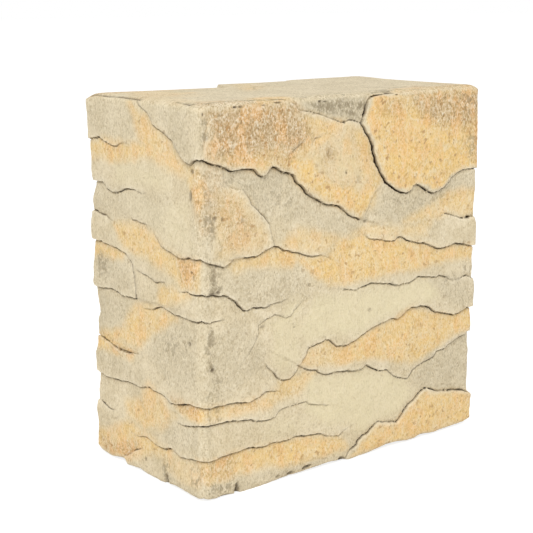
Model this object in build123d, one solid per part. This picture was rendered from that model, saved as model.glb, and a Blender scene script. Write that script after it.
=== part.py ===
from build123d import *
import os

# Split face concrete block, cast in one piece.
# X runs along the length, Y from the front to the back, Z up.
# The origin is the middle of the bed, at the level that the block stands on.

# Overall size in mm, over the proudest leaves of the split faces.
block_length = 300.0
block_depth = 158.0
block_height = 304.0

# The near upright corner is worn round, the other three are sharper. The floated
# top slopes down to its rim in a narrow lip, and the bed edge is bevelled.
near_corner_radius = 8.0
corner_radius = 3.0
lip_width = 5.5
lip_drop = 2.6
bed_bevel = 2.0

# The split faces are made of thin leaves. Each leaf ends in a sheer edge along
# a crack, and the stone beside it rises to the face again as a long slope.
# A crack that dies out within a face still leaves a step this deep there.
faint = 0.4

# How far a cutter stands clear of the block, and how deep it can reach.
clearance = 6.0
cutter_depth = 14.0

# Every face is drawn on a sheet of this size and stretched to the block.
sheet_length = 300.0
sheet_depth = 158.0
sheet_height = 304.0

DOWN = (0.0, -1.0)
UP = (0.0, 1.0)
DOWN_LEFT = (-0.8, -0.6)
DOWN_RIGHT = (0.8, -0.6)
UP_LEFT = (-0.5, 0.87)
LEFT = (-1.0, 0.0)

# The four faces as seen from outside: the first axis runs along the face from
# its left edge, the second up from the bed, and the third outwards.
front = Plane(
    origin=(-block_length / 2, -block_depth / 2, 0), x_dir=(1, 0, 0), z_dir=(0, -1, 0)
)
right_end = Plane(
    origin=(block_length / 2, -block_depth / 2, 0), x_dir=(0, 1, 0), z_dir=(1, 0, 0)
)
back = Plane(
    origin=(block_length / 2, block_depth / 2, 0), x_dir=(-1, 0, 0), z_dir=(0, 1, 0)
)
left_end = Plane(
    origin=(-block_length / 2, block_depth / 2, 0), x_dir=(0, -1, 0), z_dir=(-1, 0, 0)
)

# The top as seen from above, with the second axis from the front to the back.
top = Plane(
    origin=(-block_length / 2, -block_depth / 2, block_height), x_dir=(1, 0, 0), z_dir=(0, 0, 1)
)


def on_sheet(face, across, height):
    """A point drawn on a face's sheet, stretched to the block's size."""
    along_length = block_length / sheet_length
    along_depth = block_depth / sheet_depth
    along_height = block_height / sheet_height
    if face == top:
        return across * along_length, height * along_depth
    if face in (front, back):
        return across * along_length, height * along_height
    return across * along_depth, height * along_height


def leaf_step(face, side, start_depth, end_depth, crack, run, next_crack=None):
    """The stone missing beside a crack. It is sheer along the crack, from
    start_depth to end_depth deep, and its floor rises towards the side named
    and would meet the face at run. A floor that hardly rises ends at the next
    crack, and is sheer there too."""
    line = [on_sheet(face, across, height) for across, height in crack]
    (u0, v0), (u1, v1) = line[0], line[-1]
    if next_crack:
        far_side = [on_sheet(face, across, height) for across, height in next_crack]
        far_side.reverse()
    else:
        stop = run + clearance
        far_side = [
            (u1 + stop * side[0], v1 + stop * side[1]),
            (u0 + stop * side[0], v0 + stop * side[1]),
        ]
    sheet = face * make_face(Polyline(*line, *far_side, close=True))
    air = extrude(sheet, amount=cutter_depth, both=True)
    first = Vector(u0, v0, -start_depth)
    last = Vector(u1, v1, -end_depth)
    middle = (first + last) * 0.5
    run_out = Vector(middle.X + run * side[0], middle.Y + run * side[1], 0)
    normal = (last - first).cross(run_out - first)
    if normal.Z < 0:
        normal = normal * -1
    floor = Plane(origin=first, x_dir=last - first, z_dir=normal)
    reach = 3 * (block_length + block_height)
    above_floor = face * floor * Box(
        reach, reach, 4 * cutter_depth, align=(Align.CENTER, Align.CENTER, Align.MIN)
    )
    return air & above_floor


def bed_chip(face, across, width, height, depth):
    """A flake broken off the bed edge of a face, wedge shaped from the face
    down to the bed, and narrower at its upper end."""
    centre, foot = on_sheet(face, across, 0)
    low = face * Plane((centre, foot - 1, 0), z_dir=(0, 1, 0)) * Rectangle(width, 2 * depth)
    high = face * Plane((centre, height, 0), z_dir=(0, 1, 0)) * Rectangle(width / 3, 0.4)
    return loft([low.faces()[0], high.faces()[0]])


# The block as cast, before its faces split: an upright bar with worn corners,
# under a lip that slopes to the rim of the top, on a bevelled bed.
outline = Rectangle(block_length, block_depth)
corners = outline.vertices().sort_by(lambda corner: corner.X + corner.Y)
outline = fillet(corners[1:], corner_radius)
corners = outline.vertices().sort_by(lambda corner: corner.X + corner.Y)
outline = fillet(corners[0], near_corner_radius)
bar = extrude(outline, amount=block_height)
bed_edges = bar.edges().group_by(Axis.Z)[0]
bar = chamfer(bed_edges, bed_bevel)
lid = extrude(Rectangle(block_length, block_depth), amount=block_height)
top_face = lid.faces().sort_by(Axis.Z)[-1]
lid = chamfer(top_face.edges(), lip_width, lip_drop, reference=top_face)
block = bar & lid

leaves = []

# Front face, from the top down: the sunk leaf under the top edge, the big leaf
# at the left, the leaf at the upper right, and the beds below them.
front_lowest = [
    (196, 52), (184, 44), (176, 31), (163, 24), (157, 13), (150, 5), (152, 7.7), (160, 11),
    (167, 17), (176, 21.6), (185, 25.2), (206, 20.4), (213, 26), (221, 33), (227, 35.4),
    (234, 40.4), (240, 43.6), (257, 37.7), (279, 34), (290, 32.1), (306, 27),
]
leaves.append(leaf_step(
    front, UP, 0.6, 2.6,
    [(90, 301), (93, 298), (97, 294), (111, 291), (120, 288.7), (130, 285.3), (140, 281.5),
     (150, 282.5), (163.6, 279), (165, 282.6), (168, 293), (172.7, 301), (176, 306)],
    run=90,
))
leaves.append(leaf_step(
    front, DOWN, 3, 2.6,
    [(-6, 262), (4, 263.4), (14, 260.2), (26, 256.1), (31, 253.3), (42, 254), (53, 252.6),
     (58, 248), (61, 246.7), (70, 253.7), (78, 249.8), (88, 247), (94, 241), (102, 234),
     (110, 226), (118, 222.8)],
    run=46,
))
leaves.append(leaf_step(
    front, DOWN, 2.7, faint,
    [(102, 234), (110, 226), (118, 222.8), (127, 218), (138, 216.3), (147, 209.6), (160, 203)],
    run=46,
))
leaves.append(leaf_step(
    front, DOWN_LEFT, faint, 2,
    [(163.8, 280.6), (168.4, 272), (175, 262.6), (178, 251.4), (181, 246)],
    run=24,
))
leaves.append(leaf_step(
    front, DOWN_LEFT, 2, 1.2,
    [(176, 259), (178, 251.4), (184, 241), (190, 230)],
    run=24,
))
leaves.append(leaf_step(
    front, DOWN_RIGHT, 0.5, 0.5,
    [(156, 203), (167, 206), (173, 216), (178, 223), (190, 229.5)],
    run=16,
))
leaves.append(leaf_step(
    front, DOWN, faint, 2.4,
    [(189, 231), (198, 225), (205, 221), (215, 219), (221, 224), (229, 224)],
    run=40,
))
leaves.append(leaf_step(
    front, DOWN, 2.4, 2,
    [(215, 219), (221, 224), (229, 224), (234, 221), (240, 218), (245, 216), (250, 216.4),
     (257, 218.3), (262, 221.4), (266, 226), (273, 230), (280, 232.2), (306, 232.3)],
    run=40,
))
leaves.append(leaf_step(
    front, UP, faint, 1.9,
    [(248.2, 193.3), (258, 194.7), (262, 195.3), (273, 192.2), (283, 188.7), (294, 189.5),
     (306, 189)],
    run=42,
))
leaves.append(leaf_step(
    front, DOWN, faint, 2.6,
    [(170, 187), (173, 185), (180, 184), (190, 181.4), (200, 180.3), (206, 183), (213, 180.6),
     (224, 176), (235, 174.4), (246, 170), (256, 166.4), (264, 167.2), (274, 169.2),
     (285, 166.7), (295, 164.4), (306, 164)],
    run=28,
))
leaves.append(leaf_step(
    front, DOWN, 2.4, faint,
    [(-6, 191.3), (4, 188.6), (11, 186), (22, 182.5), (27, 184), (35, 187.4), (46, 186.3),
     (54, 186.1), (66, 190.6), (72, 192.2), (83, 187.2), (97, 183), (110, 178.7), (119, 178.7),
     (125, 177), (134, 173)],
    run=28,
))
leaves.append(leaf_step(
    front, DOWN, 2, faint,
    [(-6, 165.5), (4, 162), (13, 161.7), (26, 159.4), (35, 153.3), (42, 146), (50, 146.7),
     (63, 144.7), (71, 146.9), (80, 147), (90, 149.6)],
    run=24,
))
leaves.append(leaf_step(
    front, DOWN, 1.6, faint,
    [(-6, 145.2), (4, 142), (16, 141.4), (28, 141.3)],
    run=18,
))
leaves.append(leaf_step(
    front, DOWN_RIGHT, faint, 1,
    [(36, 101.7), (46, 110.6), (54, 120.6), (56, 131), (61, 133.6)],
    run=24,
))
leaves.append(leaf_step(
    front, DOWN_RIGHT, 1, faint,
    [(55, 124), (56, 131), (61, 133.6), (73, 137.6), (84, 133.3), (88, 134), (97, 142),
     (105, 149)],
    run=24,
))
leaves.append(leaf_step(
    front, DOWN, faint, 1.5,
    [(145, 147), (157, 145), (174, 148.1), (182, 146.7), (195, 144.8), (206, 141.4), (218, 142)],
    run=24,
))
leaves.append(leaf_step(
    front, DOWN, 1.5, faint,
    [(206, 141.4), (218, 142), (228, 146), (240, 144), (252, 142.2), (260, 141.7), (269, 137.6),
     (280, 135.8)],
    run=24,
))
leaves.append(leaf_step(
    front, UP, faint, 2.5,
    [(274, 136.6), (284, 136.4), (290, 137.2), (298, 134.1), (306, 133)],
    run=30,
))
leaves.append(leaf_step(
    front, DOWN, faint, 1.8,
    [(66, 96.6), (73, 89.3), (75, 86), (78, 84), (88, 82.4), (95, 88), (101, 96), (105, 103),
     (108, 105), (120, 107.2), (128, 108.3), (134, 103.3), (143, 100.2), (148, 100)],
    run=26,
))
leaves.append(leaf_step(
    front, DOWN, 1.8, 3.2,
    [(134, 103.3), (143, 100.2), (148, 100), (158, 102.8), (169, 107.2), (175, 109.7),
     (190, 112.8), (198, 114.4), (205, 112.2), (210, 114.4), (216, 118), (222, 120.3),
     (235, 119.4), (244, 116.7), (252, 111.3), (263, 108), (275, 105), (282, 106), (290, 109.4),
     (306, 108.7)],
    run=26,
))
leaves.append(leaf_step(
    front, DOWN, faint, 2,
    [(97, 91.8), (106, 87), (115, 85), (122, 80), (133, 79), (149, 77.7), (155, 76.2),
     (166, 77), (170.4, 78.8), (177, 75), (184, 71.6), (195, 70), (202, 64), (210, 60),
     (220, 57.7)],
    run=24,
))
leaves.append(leaf_step(
    front, DOWN, 0.8, 3.4,
    [(202, 64), (210, 60), (220, 57.7), (225, 63), (238, 68.2), (250, 71), (254, 75),
     (265, 76.2), (270, 78.8), (278, 81.6), (290, 84.3), (306, 86.5)],
    run=160, next_crack=front_lowest,
))
leaves.append(leaf_step(
    front, DOWN, 2.2, faint,
    [(-6, 80), (4, 75.1), (14, 74.7), (32, 74.9), (45, 72.3), (55, 74.3), (63, 76.9), (74, 75)],
    run=14,
))
leaves.append(leaf_step(
    front, DOWN, 2.4, faint,
    [(-6, 64), (4, 60.7), (16, 60.3), (30, 60.2), (42, 58.2), (50, 57.6), (52, 55.4), (60, 54),
     (68, 53.6), (76, 58.2), (86, 59.9), (105, 60.4), (108, 57.7), (114, 56), (128, 52.5)],
    run=24,
))
leaves.append(leaf_step(
    front, DOWN, 2.4, faint,
    [(-6, 37.7), (4, 32.7), (11, 32.3), (22, 34.1), (46, 34.8), (60, 32.3), (71, 33.6),
     (82, 32.4), (97, 33.2), (109, 31.3), (120, 30), (128, 26.6), (140, 24), (150, 28.8),
     (162, 31)],
    run=28,
))

# Left end face, from the top down. Its left edge is the back corner, where
# the leaves step in and out the most.
left_step_out = [
    (-6, 206.5), (5, 207.3), (10, 207.8), (24, 206), (29, 206.4), (32, 204.4), (42, 203.4),
    (52, 209), (60, 210), (68, 218), (79, 221),
]
left_hollow_foot = [
    (-6, 101), (10, 101.8), (21, 101), (27.6, 99.9), (34, 98.2), (40, 96.6), (50, 95.8),
    (54, 96.9), (61, 98), (70, 99.1), (74, 110), (70, 121), (73, 133),
]
left_low_foot = [
    (-6, 45.5), (5, 44.9), (11, 44.7), (18, 43.4), (26, 42.1), (34, 43), (46, 48), (52, 56),
    (64, 60), (71, 68),
]
leaves.append(leaf_step(
    left_end, DOWN_LEFT, 0.5, 2.8,
    [(78, 303), (83, 298.7), (88.4, 295.6), (94.6, 290.3), (98, 286), (103.4, 283),
     (114, 279.8), (123, 275.3), (128.4, 269.8), (134, 264.2), (139.6, 261), (145, 260),
     (151, 262.6), (155, 263.9), (164, 263.3)],
    run=30,
))
leaves.append(leaf_step(
    left_end, DOWN, 2.2, faint,
    [(-6, 267), (3, 267.2), (9, 268), (16, 269), (21, 270), (29, 267), (41, 264.2), (46, 264.6),
     (52, 267), (56, 268.3), (70, 268.4), (76, 270)],
    run=32,
))
leaves.append(leaf_step(
    left_end, DOWN, 4.2, faint,
    [(-6, 233), (10, 232.8), (18, 233), (24, 233.9), (29, 229.6), (36.4, 227.2), (45, 227.3),
     (51, 229.2), (58, 232), (70, 232.8), (81, 231.3), (92, 232.3)],
    run=80, next_crack=left_step_out,
))
leaves.append(leaf_step(
    left_end, DOWN, faint, faint,
    [(64, 209.2), (74, 209.2), (81, 207.9), (90, 207.2)],
    run=14,
))
leaves.append(leaf_step(
    left_end, DOWN, faint, 2.2,
    [(95, 202.2), (99, 201.7), (103, 198.3), (107, 193.9), (113, 191.7), (120, 190.3),
     (126, 188.9), (133, 187.8), (138, 188.3), (141, 190), (152, 189.2), (164, 189)],
    run=24,
))
leaves.append(leaf_step(
    left_end, DOWN, 3.8, 1.6,
    [(-6, 184), (9, 184.1), (20, 184.4), (34, 183), (43, 182.2), (51, 181), (57.6, 180)],
    run=38,
))
leaves.append(leaf_step(
    left_end, LEFT, 1.6, 0.6,
    [(57.6, 180), (61, 177.2), (64.8, 171.7), (65.5, 165.6), (67, 160), (67.6, 152), (68.7, 145)],
    run=30,
))
leaves.append(leaf_step(
    left_end, DOWN, faint, 1,
    [(70, 169.4), (80, 167.7), (88.4, 166.9), (94, 165), (98.4, 163.6)],
    run=16,
))
leaves.append(leaf_step(
    left_end, DOWN, 1, faint,
    [(88.4, 166.9), (94, 165), (98.4, 163.6), (104, 164.7), (109.6, 165.9), (113, 164.1),
     (117, 163.8)],
    run=16,
))
leaves.append(leaf_step(
    left_end, DOWN, faint, 2,
    [(126.8, 161.7), (134, 162.2), (140.7, 163.3), (145, 162.4), (152, 162.6), (158, 163.3),
     (164, 165.5)],
    run=16,
))
leaves.append(leaf_step(
    left_end, DOWN, 4.6, 0.6,
    [(-6, 145), (9, 144.4), (14, 144.2), (25, 146.1), (32, 147), (38, 146), (48, 144.1),
     (54, 144.4), (70, 144.4)],
    run=200, next_crack=left_hollow_foot,
))
leaves.append(leaf_step(
    left_end, DOWN, faint, 1.8,
    [(74, 139.2), (80, 139.2), (92, 140.3), (96, 142.8), (101, 144.2), (105, 145.2), (115, 143),
     (121, 142), (130, 142.6), (146, 141.7), (152, 141.7), (158, 142.8), (164, 144.4)],
    run=28,
))
leaves.append(leaf_step(
    left_end, DOWN, 4, 0.8,
    [(-6, 71.5), (6.4, 70.7), (19, 69.9), (29, 70.1), (43, 71.3), (50, 72.3), (59, 72.9),
     (69, 72.4), (75, 73), (80, 74.9)],
    run=120, next_crack=left_low_foot,
))
leaves.append(leaf_step(
    left_end, DOWN, 1, 2.2,
    [(69, 72.4), (75, 73), (80, 74.9), (85, 76), (93, 74.1), (100, 74.6), (107, 73.8),
     (115, 70.2), (123, 71), (130, 72.7), (136, 74.9), (143, 75.7), (158, 76), (164, 78)],
    run=14,
))
leaves.append(leaf_step(
    left_end, DOWN, faint, 2.4,
    [(119.6, 57.1), (126, 56.6), (133, 56.2), (137, 57.4), (147, 59.6), (154, 60.8),
     (158, 61.8), (164, 64)],
    run=22,
))
leaves.append(leaf_step(
    left_end, DOWN, faint, 2.4,
    [(58, 29.9), (69, 30.4), (75, 32.1), (80, 32.9), (85, 31.9), (91, 30.7), (96, 29.9),
     (106, 30.2), (111, 31.8), (116, 33.8), (122, 31.6), (128, 29.9), (134, 30.4), (141, 31.6),
     (150, 32.7), (158, 34.3), (164, 37)],
    run=26,
))
leaves.append(leaf_step(
    left_end, UP_LEFT, 2, faint,
    [(43, -4), (46, 5), (52.6, 9.3), (58.7, 13.8), (63, 16.6), (68.7, 18.6), (74, 21.4)],
    run=14,
))

# Right end face: the leaves of the front carry on round the corner at the
# same levels, and those of the back come round the other one.
right_lowest = [
    (-6, 27), (12, 30), (30, 34), (46, 37), (62, 34), (80, 31), (92, 37), (86, 47), (90, 58),
    (78, 66), (72, 77),
]
leaves.append(leaf_step(
    right_end, DOWN, 2, faint,
    [(-6, 232.3), (8, 231), (20, 233), (34, 229), (48, 228), (60, 232), (75, 235), (94, 234)],
    run=40,
))
leaves.append(leaf_step(
    right_end, DOWN, faint, 2.8,
    [(58, 270), (76, 266), (92, 262), (108, 264), (126, 270), (144, 268), (164, 266)],
    run=34,
))
leaves.append(leaf_step(
    right_end, UP, 1.9, faint,
    [(-6, 189), (9, 190), (22, 188), (36, 190), (50, 194), (66, 196), (82, 193)],
    run=42,
))
leaves.append(leaf_step(
    right_end, DOWN, faint, 2.8,
    [(86, 206), (100, 200), (116, 203), (132, 199), (148, 201), (164, 200)],
    run=32,
))
leaves.append(leaf_step(
    right_end, DOWN, 2.6, faint,
    [(-6, 164), (10, 163), (24, 165.5), (40, 162), (58, 160), (74, 163), (90, 167), (108, 165),
     (126, 161)],
    run=28,
))
leaves.append(leaf_step(
    right_end, UP, 2.5, faint,
    [(-6, 133), (8, 135), (20, 133), (34, 131), (50, 134), (66, 137)],
    run=30,
))
leaves.append(leaf_step(
    right_end, DOWN, faint, 2.4,
    [(94, 140), (112, 138), (130, 142), (146, 139), (164, 141)],
    run=26,
))
leaves.append(leaf_step(
    right_end, DOWN, 3.2, 2.6,
    [(-6, 108.7), (12, 108), (28, 105), (44, 107), (60, 112), (78, 114), (95, 110), (112, 108),
     (130, 111), (146, 113), (164, 112)],
    run=26,
))
leaves.append(leaf_step(
    right_end, DOWN, 3.4, 0.6,
    [(-6, 86.5), (10, 85), (26, 81), (40, 80), (58, 84)],
    run=160, next_crack=right_lowest,
))
leaves.append(leaf_step(
    right_end, DOWN, faint, 2.6,
    [(66, 62), (88, 58), (104, 60), (120, 56), (138, 60), (164, 61)],
    run=28,
))
leaves.append(leaf_step(
    right_end, DOWN, faint, 2,
    [(108, 30), (126, 27), (144, 29), (164, 28)],
    run=24,
))

# Back face, from its right hand corner as the front sees it, top down.
back_step_out = [
    (176, 231), (184, 222), (198, 217), (206, 210), (218, 208), (240, 204), (262, 208),
    (284, 205), (306, 206.5),
]
back_hollow_foot = [
    (146, 138), (141, 128), (148, 118), (154, 109), (172, 106), (196, 102), (220, 99),
    (244, 103), (268, 98), (306, 101),
]
back_low_foot = [
    (138, 76), (146, 64), (158, 59), (166, 48), (182, 43), (198, 36), (224, 40), (248, 38),
    (274, 43), (306, 45.5),
]
leaves.append(leaf_step(
    back, DOWN, 2.8, faint,
    [(-6, 266), (14, 268), (32, 264), (52, 261), (70, 265), (90, 269), (112, 266), (130, 262),
     (148, 264)],
    run=36,
))
leaves.append(leaf_step(
    back, DOWN, faint, 1,
    [(118, 284), (140, 280), (160, 276), (174, 278)],
    run=24,
))
leaves.append(leaf_step(
    back, DOWN, 1, faint,
    [(160, 276), (182, 279), (200, 283), (224, 281)],
    run=24,
))
leaves.append(leaf_step(
    back, DOWN, faint, 2.2,
    [(202, 262), (222, 266), (242, 263), (262, 268), (284, 266), (306, 267)],
    run=32,
))
leaves.append(leaf_step(
    back, DOWN, faint, 4.2,
    [(168, 240), (190, 236), (212, 239), (232, 234), (254, 236), (276, 232), (306, 233)],
    run=80, next_crack=back_step_out,
))
leaves.append(leaf_step(
    back, DOWN, 2.8, faint,
    [(-6, 200), (16, 203), (36, 199), (58, 197), (80, 202), (104, 205), (126, 201), (150, 198),
     (170, 201), (190, 206)],
    run=34,
))
leaves.append(leaf_step(
    back, DOWN, faint, 3.8,
    [(194, 190), (214, 186), (236, 188), (258, 184), (280, 186), (306, 184)],
    run=38,
))
leaves.append(leaf_step(
    back, DOWN, faint, 1,
    [(58, 170), (80, 166), (102, 168), (118, 164.5)],
    run=24,
))
leaves.append(leaf_step(
    back, DOWN, 1, faint,
    [(102, 168), (124, 163), (148, 165), (170, 169)],
    run=24,
))
leaves.append(leaf_step(
    back, DOWN, 2.4, faint,
    [(-6, 141), (18, 143), (40, 139), (62, 136), (84, 140), (108, 143), (132, 140)],
    run=26,
))
leaves.append(leaf_step(
    back, DOWN, faint, 4.6,
    [(138, 150), (160, 146), (184, 142), (206, 146), (228, 149), (250, 145), (272, 147),
     (306, 145)],
    run=200, next_crack=back_hollow_foot,
))
leaves.append(leaf_step(
    back, DOWN, 2.6, faint,
    [(-6, 112), (20, 110), (42, 113), (64, 109), (88, 105), (112, 108), (136, 104)],
    run=26,
))
leaves.append(leaf_step(
    back, DOWN, 2.6, faint,
    [(-6, 61), (18, 64), (40, 60), (64, 57), (90, 61), (116, 64), (140, 60), (158, 61)],
    run=28,
))
leaves.append(leaf_step(
    back, DOWN, faint, 4,
    [(128, 84), (152, 80), (176, 77), (200, 74), (224, 77), (250, 72), (276, 74), (306, 71.5)],
    run=120, next_crack=back_low_foot,
))
leaves.append(leaf_step(
    back, DOWN, 2, faint,
    [(-6, 28), (22, 31), (46, 27), (72, 24), (98, 28), (124, 32), (150, 29), (178, 26)],
    run=24,
))

# Top: a thin flake is gone along the back, from a step at the middle to the
# back left corner.
leaves.append(leaf_step(
    top, LEFT, 3.2, faint,
    [(134.6, 164), (134, 154), (131, 147), (126, 138), (124, 128), (116, 116)],
    run=120,
))

# Flakes broken off the bed edge.
chips = [
    bed_chip(front, 33.5, 5, 11, 5),
    bed_chip(front, 105, 26, 4, 6),
    bed_chip(front, 131, 20, 5, 7),
    bed_chip(front, 200, 30, 5, 6),
    bed_chip(front, 238, 12, 4, 5),
    bed_chip(front, 284, 28, 5, 6),
    bed_chip(left_end, 107, 6, 11, 5),
    bed_chip(left_end, 41, 15, 7, 7),
    bed_chip(left_end, 6, 16, 5, 6),
    bed_chip(right_end, 60, 22, 6, 6),
    bed_chip(right_end, 118, 14, 8, 5),
    bed_chip(back, 70, 24, 6, 6),
    bed_chip(back, 150, 16, 4, 6),
    bed_chip(back, 182, 7, 10, 5),
    bed_chip(back, 244, 26, 5, 6),
]

for leaf in leaves:
    block = block - leaf
for chip in chips:
    block = block - chip

block.label = "block"
block.color = Color(0.72, 0.66, 0.52)
os.makedirs("parts", exist_ok=True)
export_step(block, "parts/block.step")
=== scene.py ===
import math

import bmesh
import bpy
import numpy as np
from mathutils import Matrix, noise


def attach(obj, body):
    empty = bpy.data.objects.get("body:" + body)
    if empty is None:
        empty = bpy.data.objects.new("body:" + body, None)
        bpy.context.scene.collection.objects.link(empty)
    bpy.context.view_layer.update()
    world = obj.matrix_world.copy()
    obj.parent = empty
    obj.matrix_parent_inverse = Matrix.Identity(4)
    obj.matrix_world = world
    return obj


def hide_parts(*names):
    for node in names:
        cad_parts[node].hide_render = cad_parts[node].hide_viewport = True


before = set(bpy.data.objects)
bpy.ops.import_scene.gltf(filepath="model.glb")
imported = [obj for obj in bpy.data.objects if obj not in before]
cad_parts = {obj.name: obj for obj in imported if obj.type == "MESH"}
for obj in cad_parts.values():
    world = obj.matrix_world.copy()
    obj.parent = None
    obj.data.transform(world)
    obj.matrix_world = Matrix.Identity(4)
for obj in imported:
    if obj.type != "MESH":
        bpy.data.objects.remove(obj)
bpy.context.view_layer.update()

# The camera stands off the near upright corner, a little higher than the top of the
# block, and looks down at it through a long lens. Its place comes from the block's
# straight edges in the photograph.
lens = bpy.data.cameras.new("long lens")
lens.lens = 87.8
lens.sensor_width = 36
camera = bpy.data.objects.new("camera", lens)
camera.location = (-0.69418, -0.83719, 0.38394)
tilt, roll, pan = 77.9805, 0.265, -38.7467
camera.rotation_euler = (math.radians(tilt), math.radians(roll), math.radians(pan))
bpy.context.collection.objects.link(camera)
bpy.context.scene.camera = camera


# The block is one casting of pale dyed concrete. Its four sides were cast against
# a rubber mould taken from split stone, so they carry the thin leaves and the
# splits of that stone. The top was floated flat by hand and the bed is plain.
mm = 0.001
length, depth, height = 300, 158, 304

bpy.ops.object.select_all(action="DESELECT")
bpy.ops.mesh.primitive_cube_add(size=1, location=(0, 0, height / 2 * mm))
block = bpy.context.object
block.name = "cast_block"
block.data.name = "cast_block"
block.scale = (length * mm, depth * mm, height * mm)
bpy.ops.object.transform_apply(location=True, rotation=False, scale=True)


def cut_across(way, pieces):
    """Cuts every edge that runs along one axis into equal pieces."""
    mesh = bmesh.from_edit_mesh(block.data)
    for edge in mesh.edges:
        first, second = edge.verts
        run = second.co - first.co
        edge.select_set(abs(run[way]) > 0.5 * run.length)
    bmesh.update_edit_mesh(block.data)
    bpy.ops.mesh.subdivide(number_cuts=pieces - 1)


# The bar is cut twice along each axis, into faces about 1 mm wide: 16 times 19 of
# them up, 8 times 20 to the back and 15 times 20 across.
along_x, along_y, along_z = 0, 1, 2
bpy.ops.object.mode_set(mode="EDIT")
bpy.ops.mesh.select_mode(type="EDGE")
for way, pieces in (
    (along_z, 16), (along_z, 19), (along_y, 8), (along_y, 20), (along_x, 15), (along_x, 20),
):
    cut_across(way, pieces)
bpy.ops.object.mode_set(mode="OBJECT")

# A tape round the block gives each point of its sides a place: 0 to 300 along the
# front from the near corner, to 458 along the right end, to 758 along the back, and
# to 916 along the left end, with the height above the bed. All of it is in mm.
girth = 2 * (length + depth)
right_corner = length
back_right_corner = length + depth
back_left_corner = 2 * length + depth
touching = 0.01
rim_width = 12

place = np.empty(len(block.data.vertices) * 3)
block.data.vertices.foreach_get("co", place)
place = place.reshape(-1, 3) / mm
across, back, up = place.T
inset = np.minimum(length / 2 - np.abs(across), depth / 2 - np.abs(back))
inset[inset < touching] = 0
on_side = inset == 0
top_side = up > height - touching
bed_side = up < touching
nearest = np.argmin(
    [back + depth / 2, length / 2 - across, depth / 2 - back, across + length / 2], axis=0
)
tape = np.choose(nearest, [
    across + length / 2,
    right_corner + back + depth / 2,
    back_right_corner + length / 2 - across,
    back_left_corner + depth / 2 - back,
])


def hills(size, seed):
    """Smooth random hills of about the size named, from -1 to 1."""
    return np.array([noise.noise(point) for point in (place / size + seed).tolist()])


def share(value):
    """Holds a value between 0, none, and 1, all."""
    return np.clip(value, 0, 1)


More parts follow.
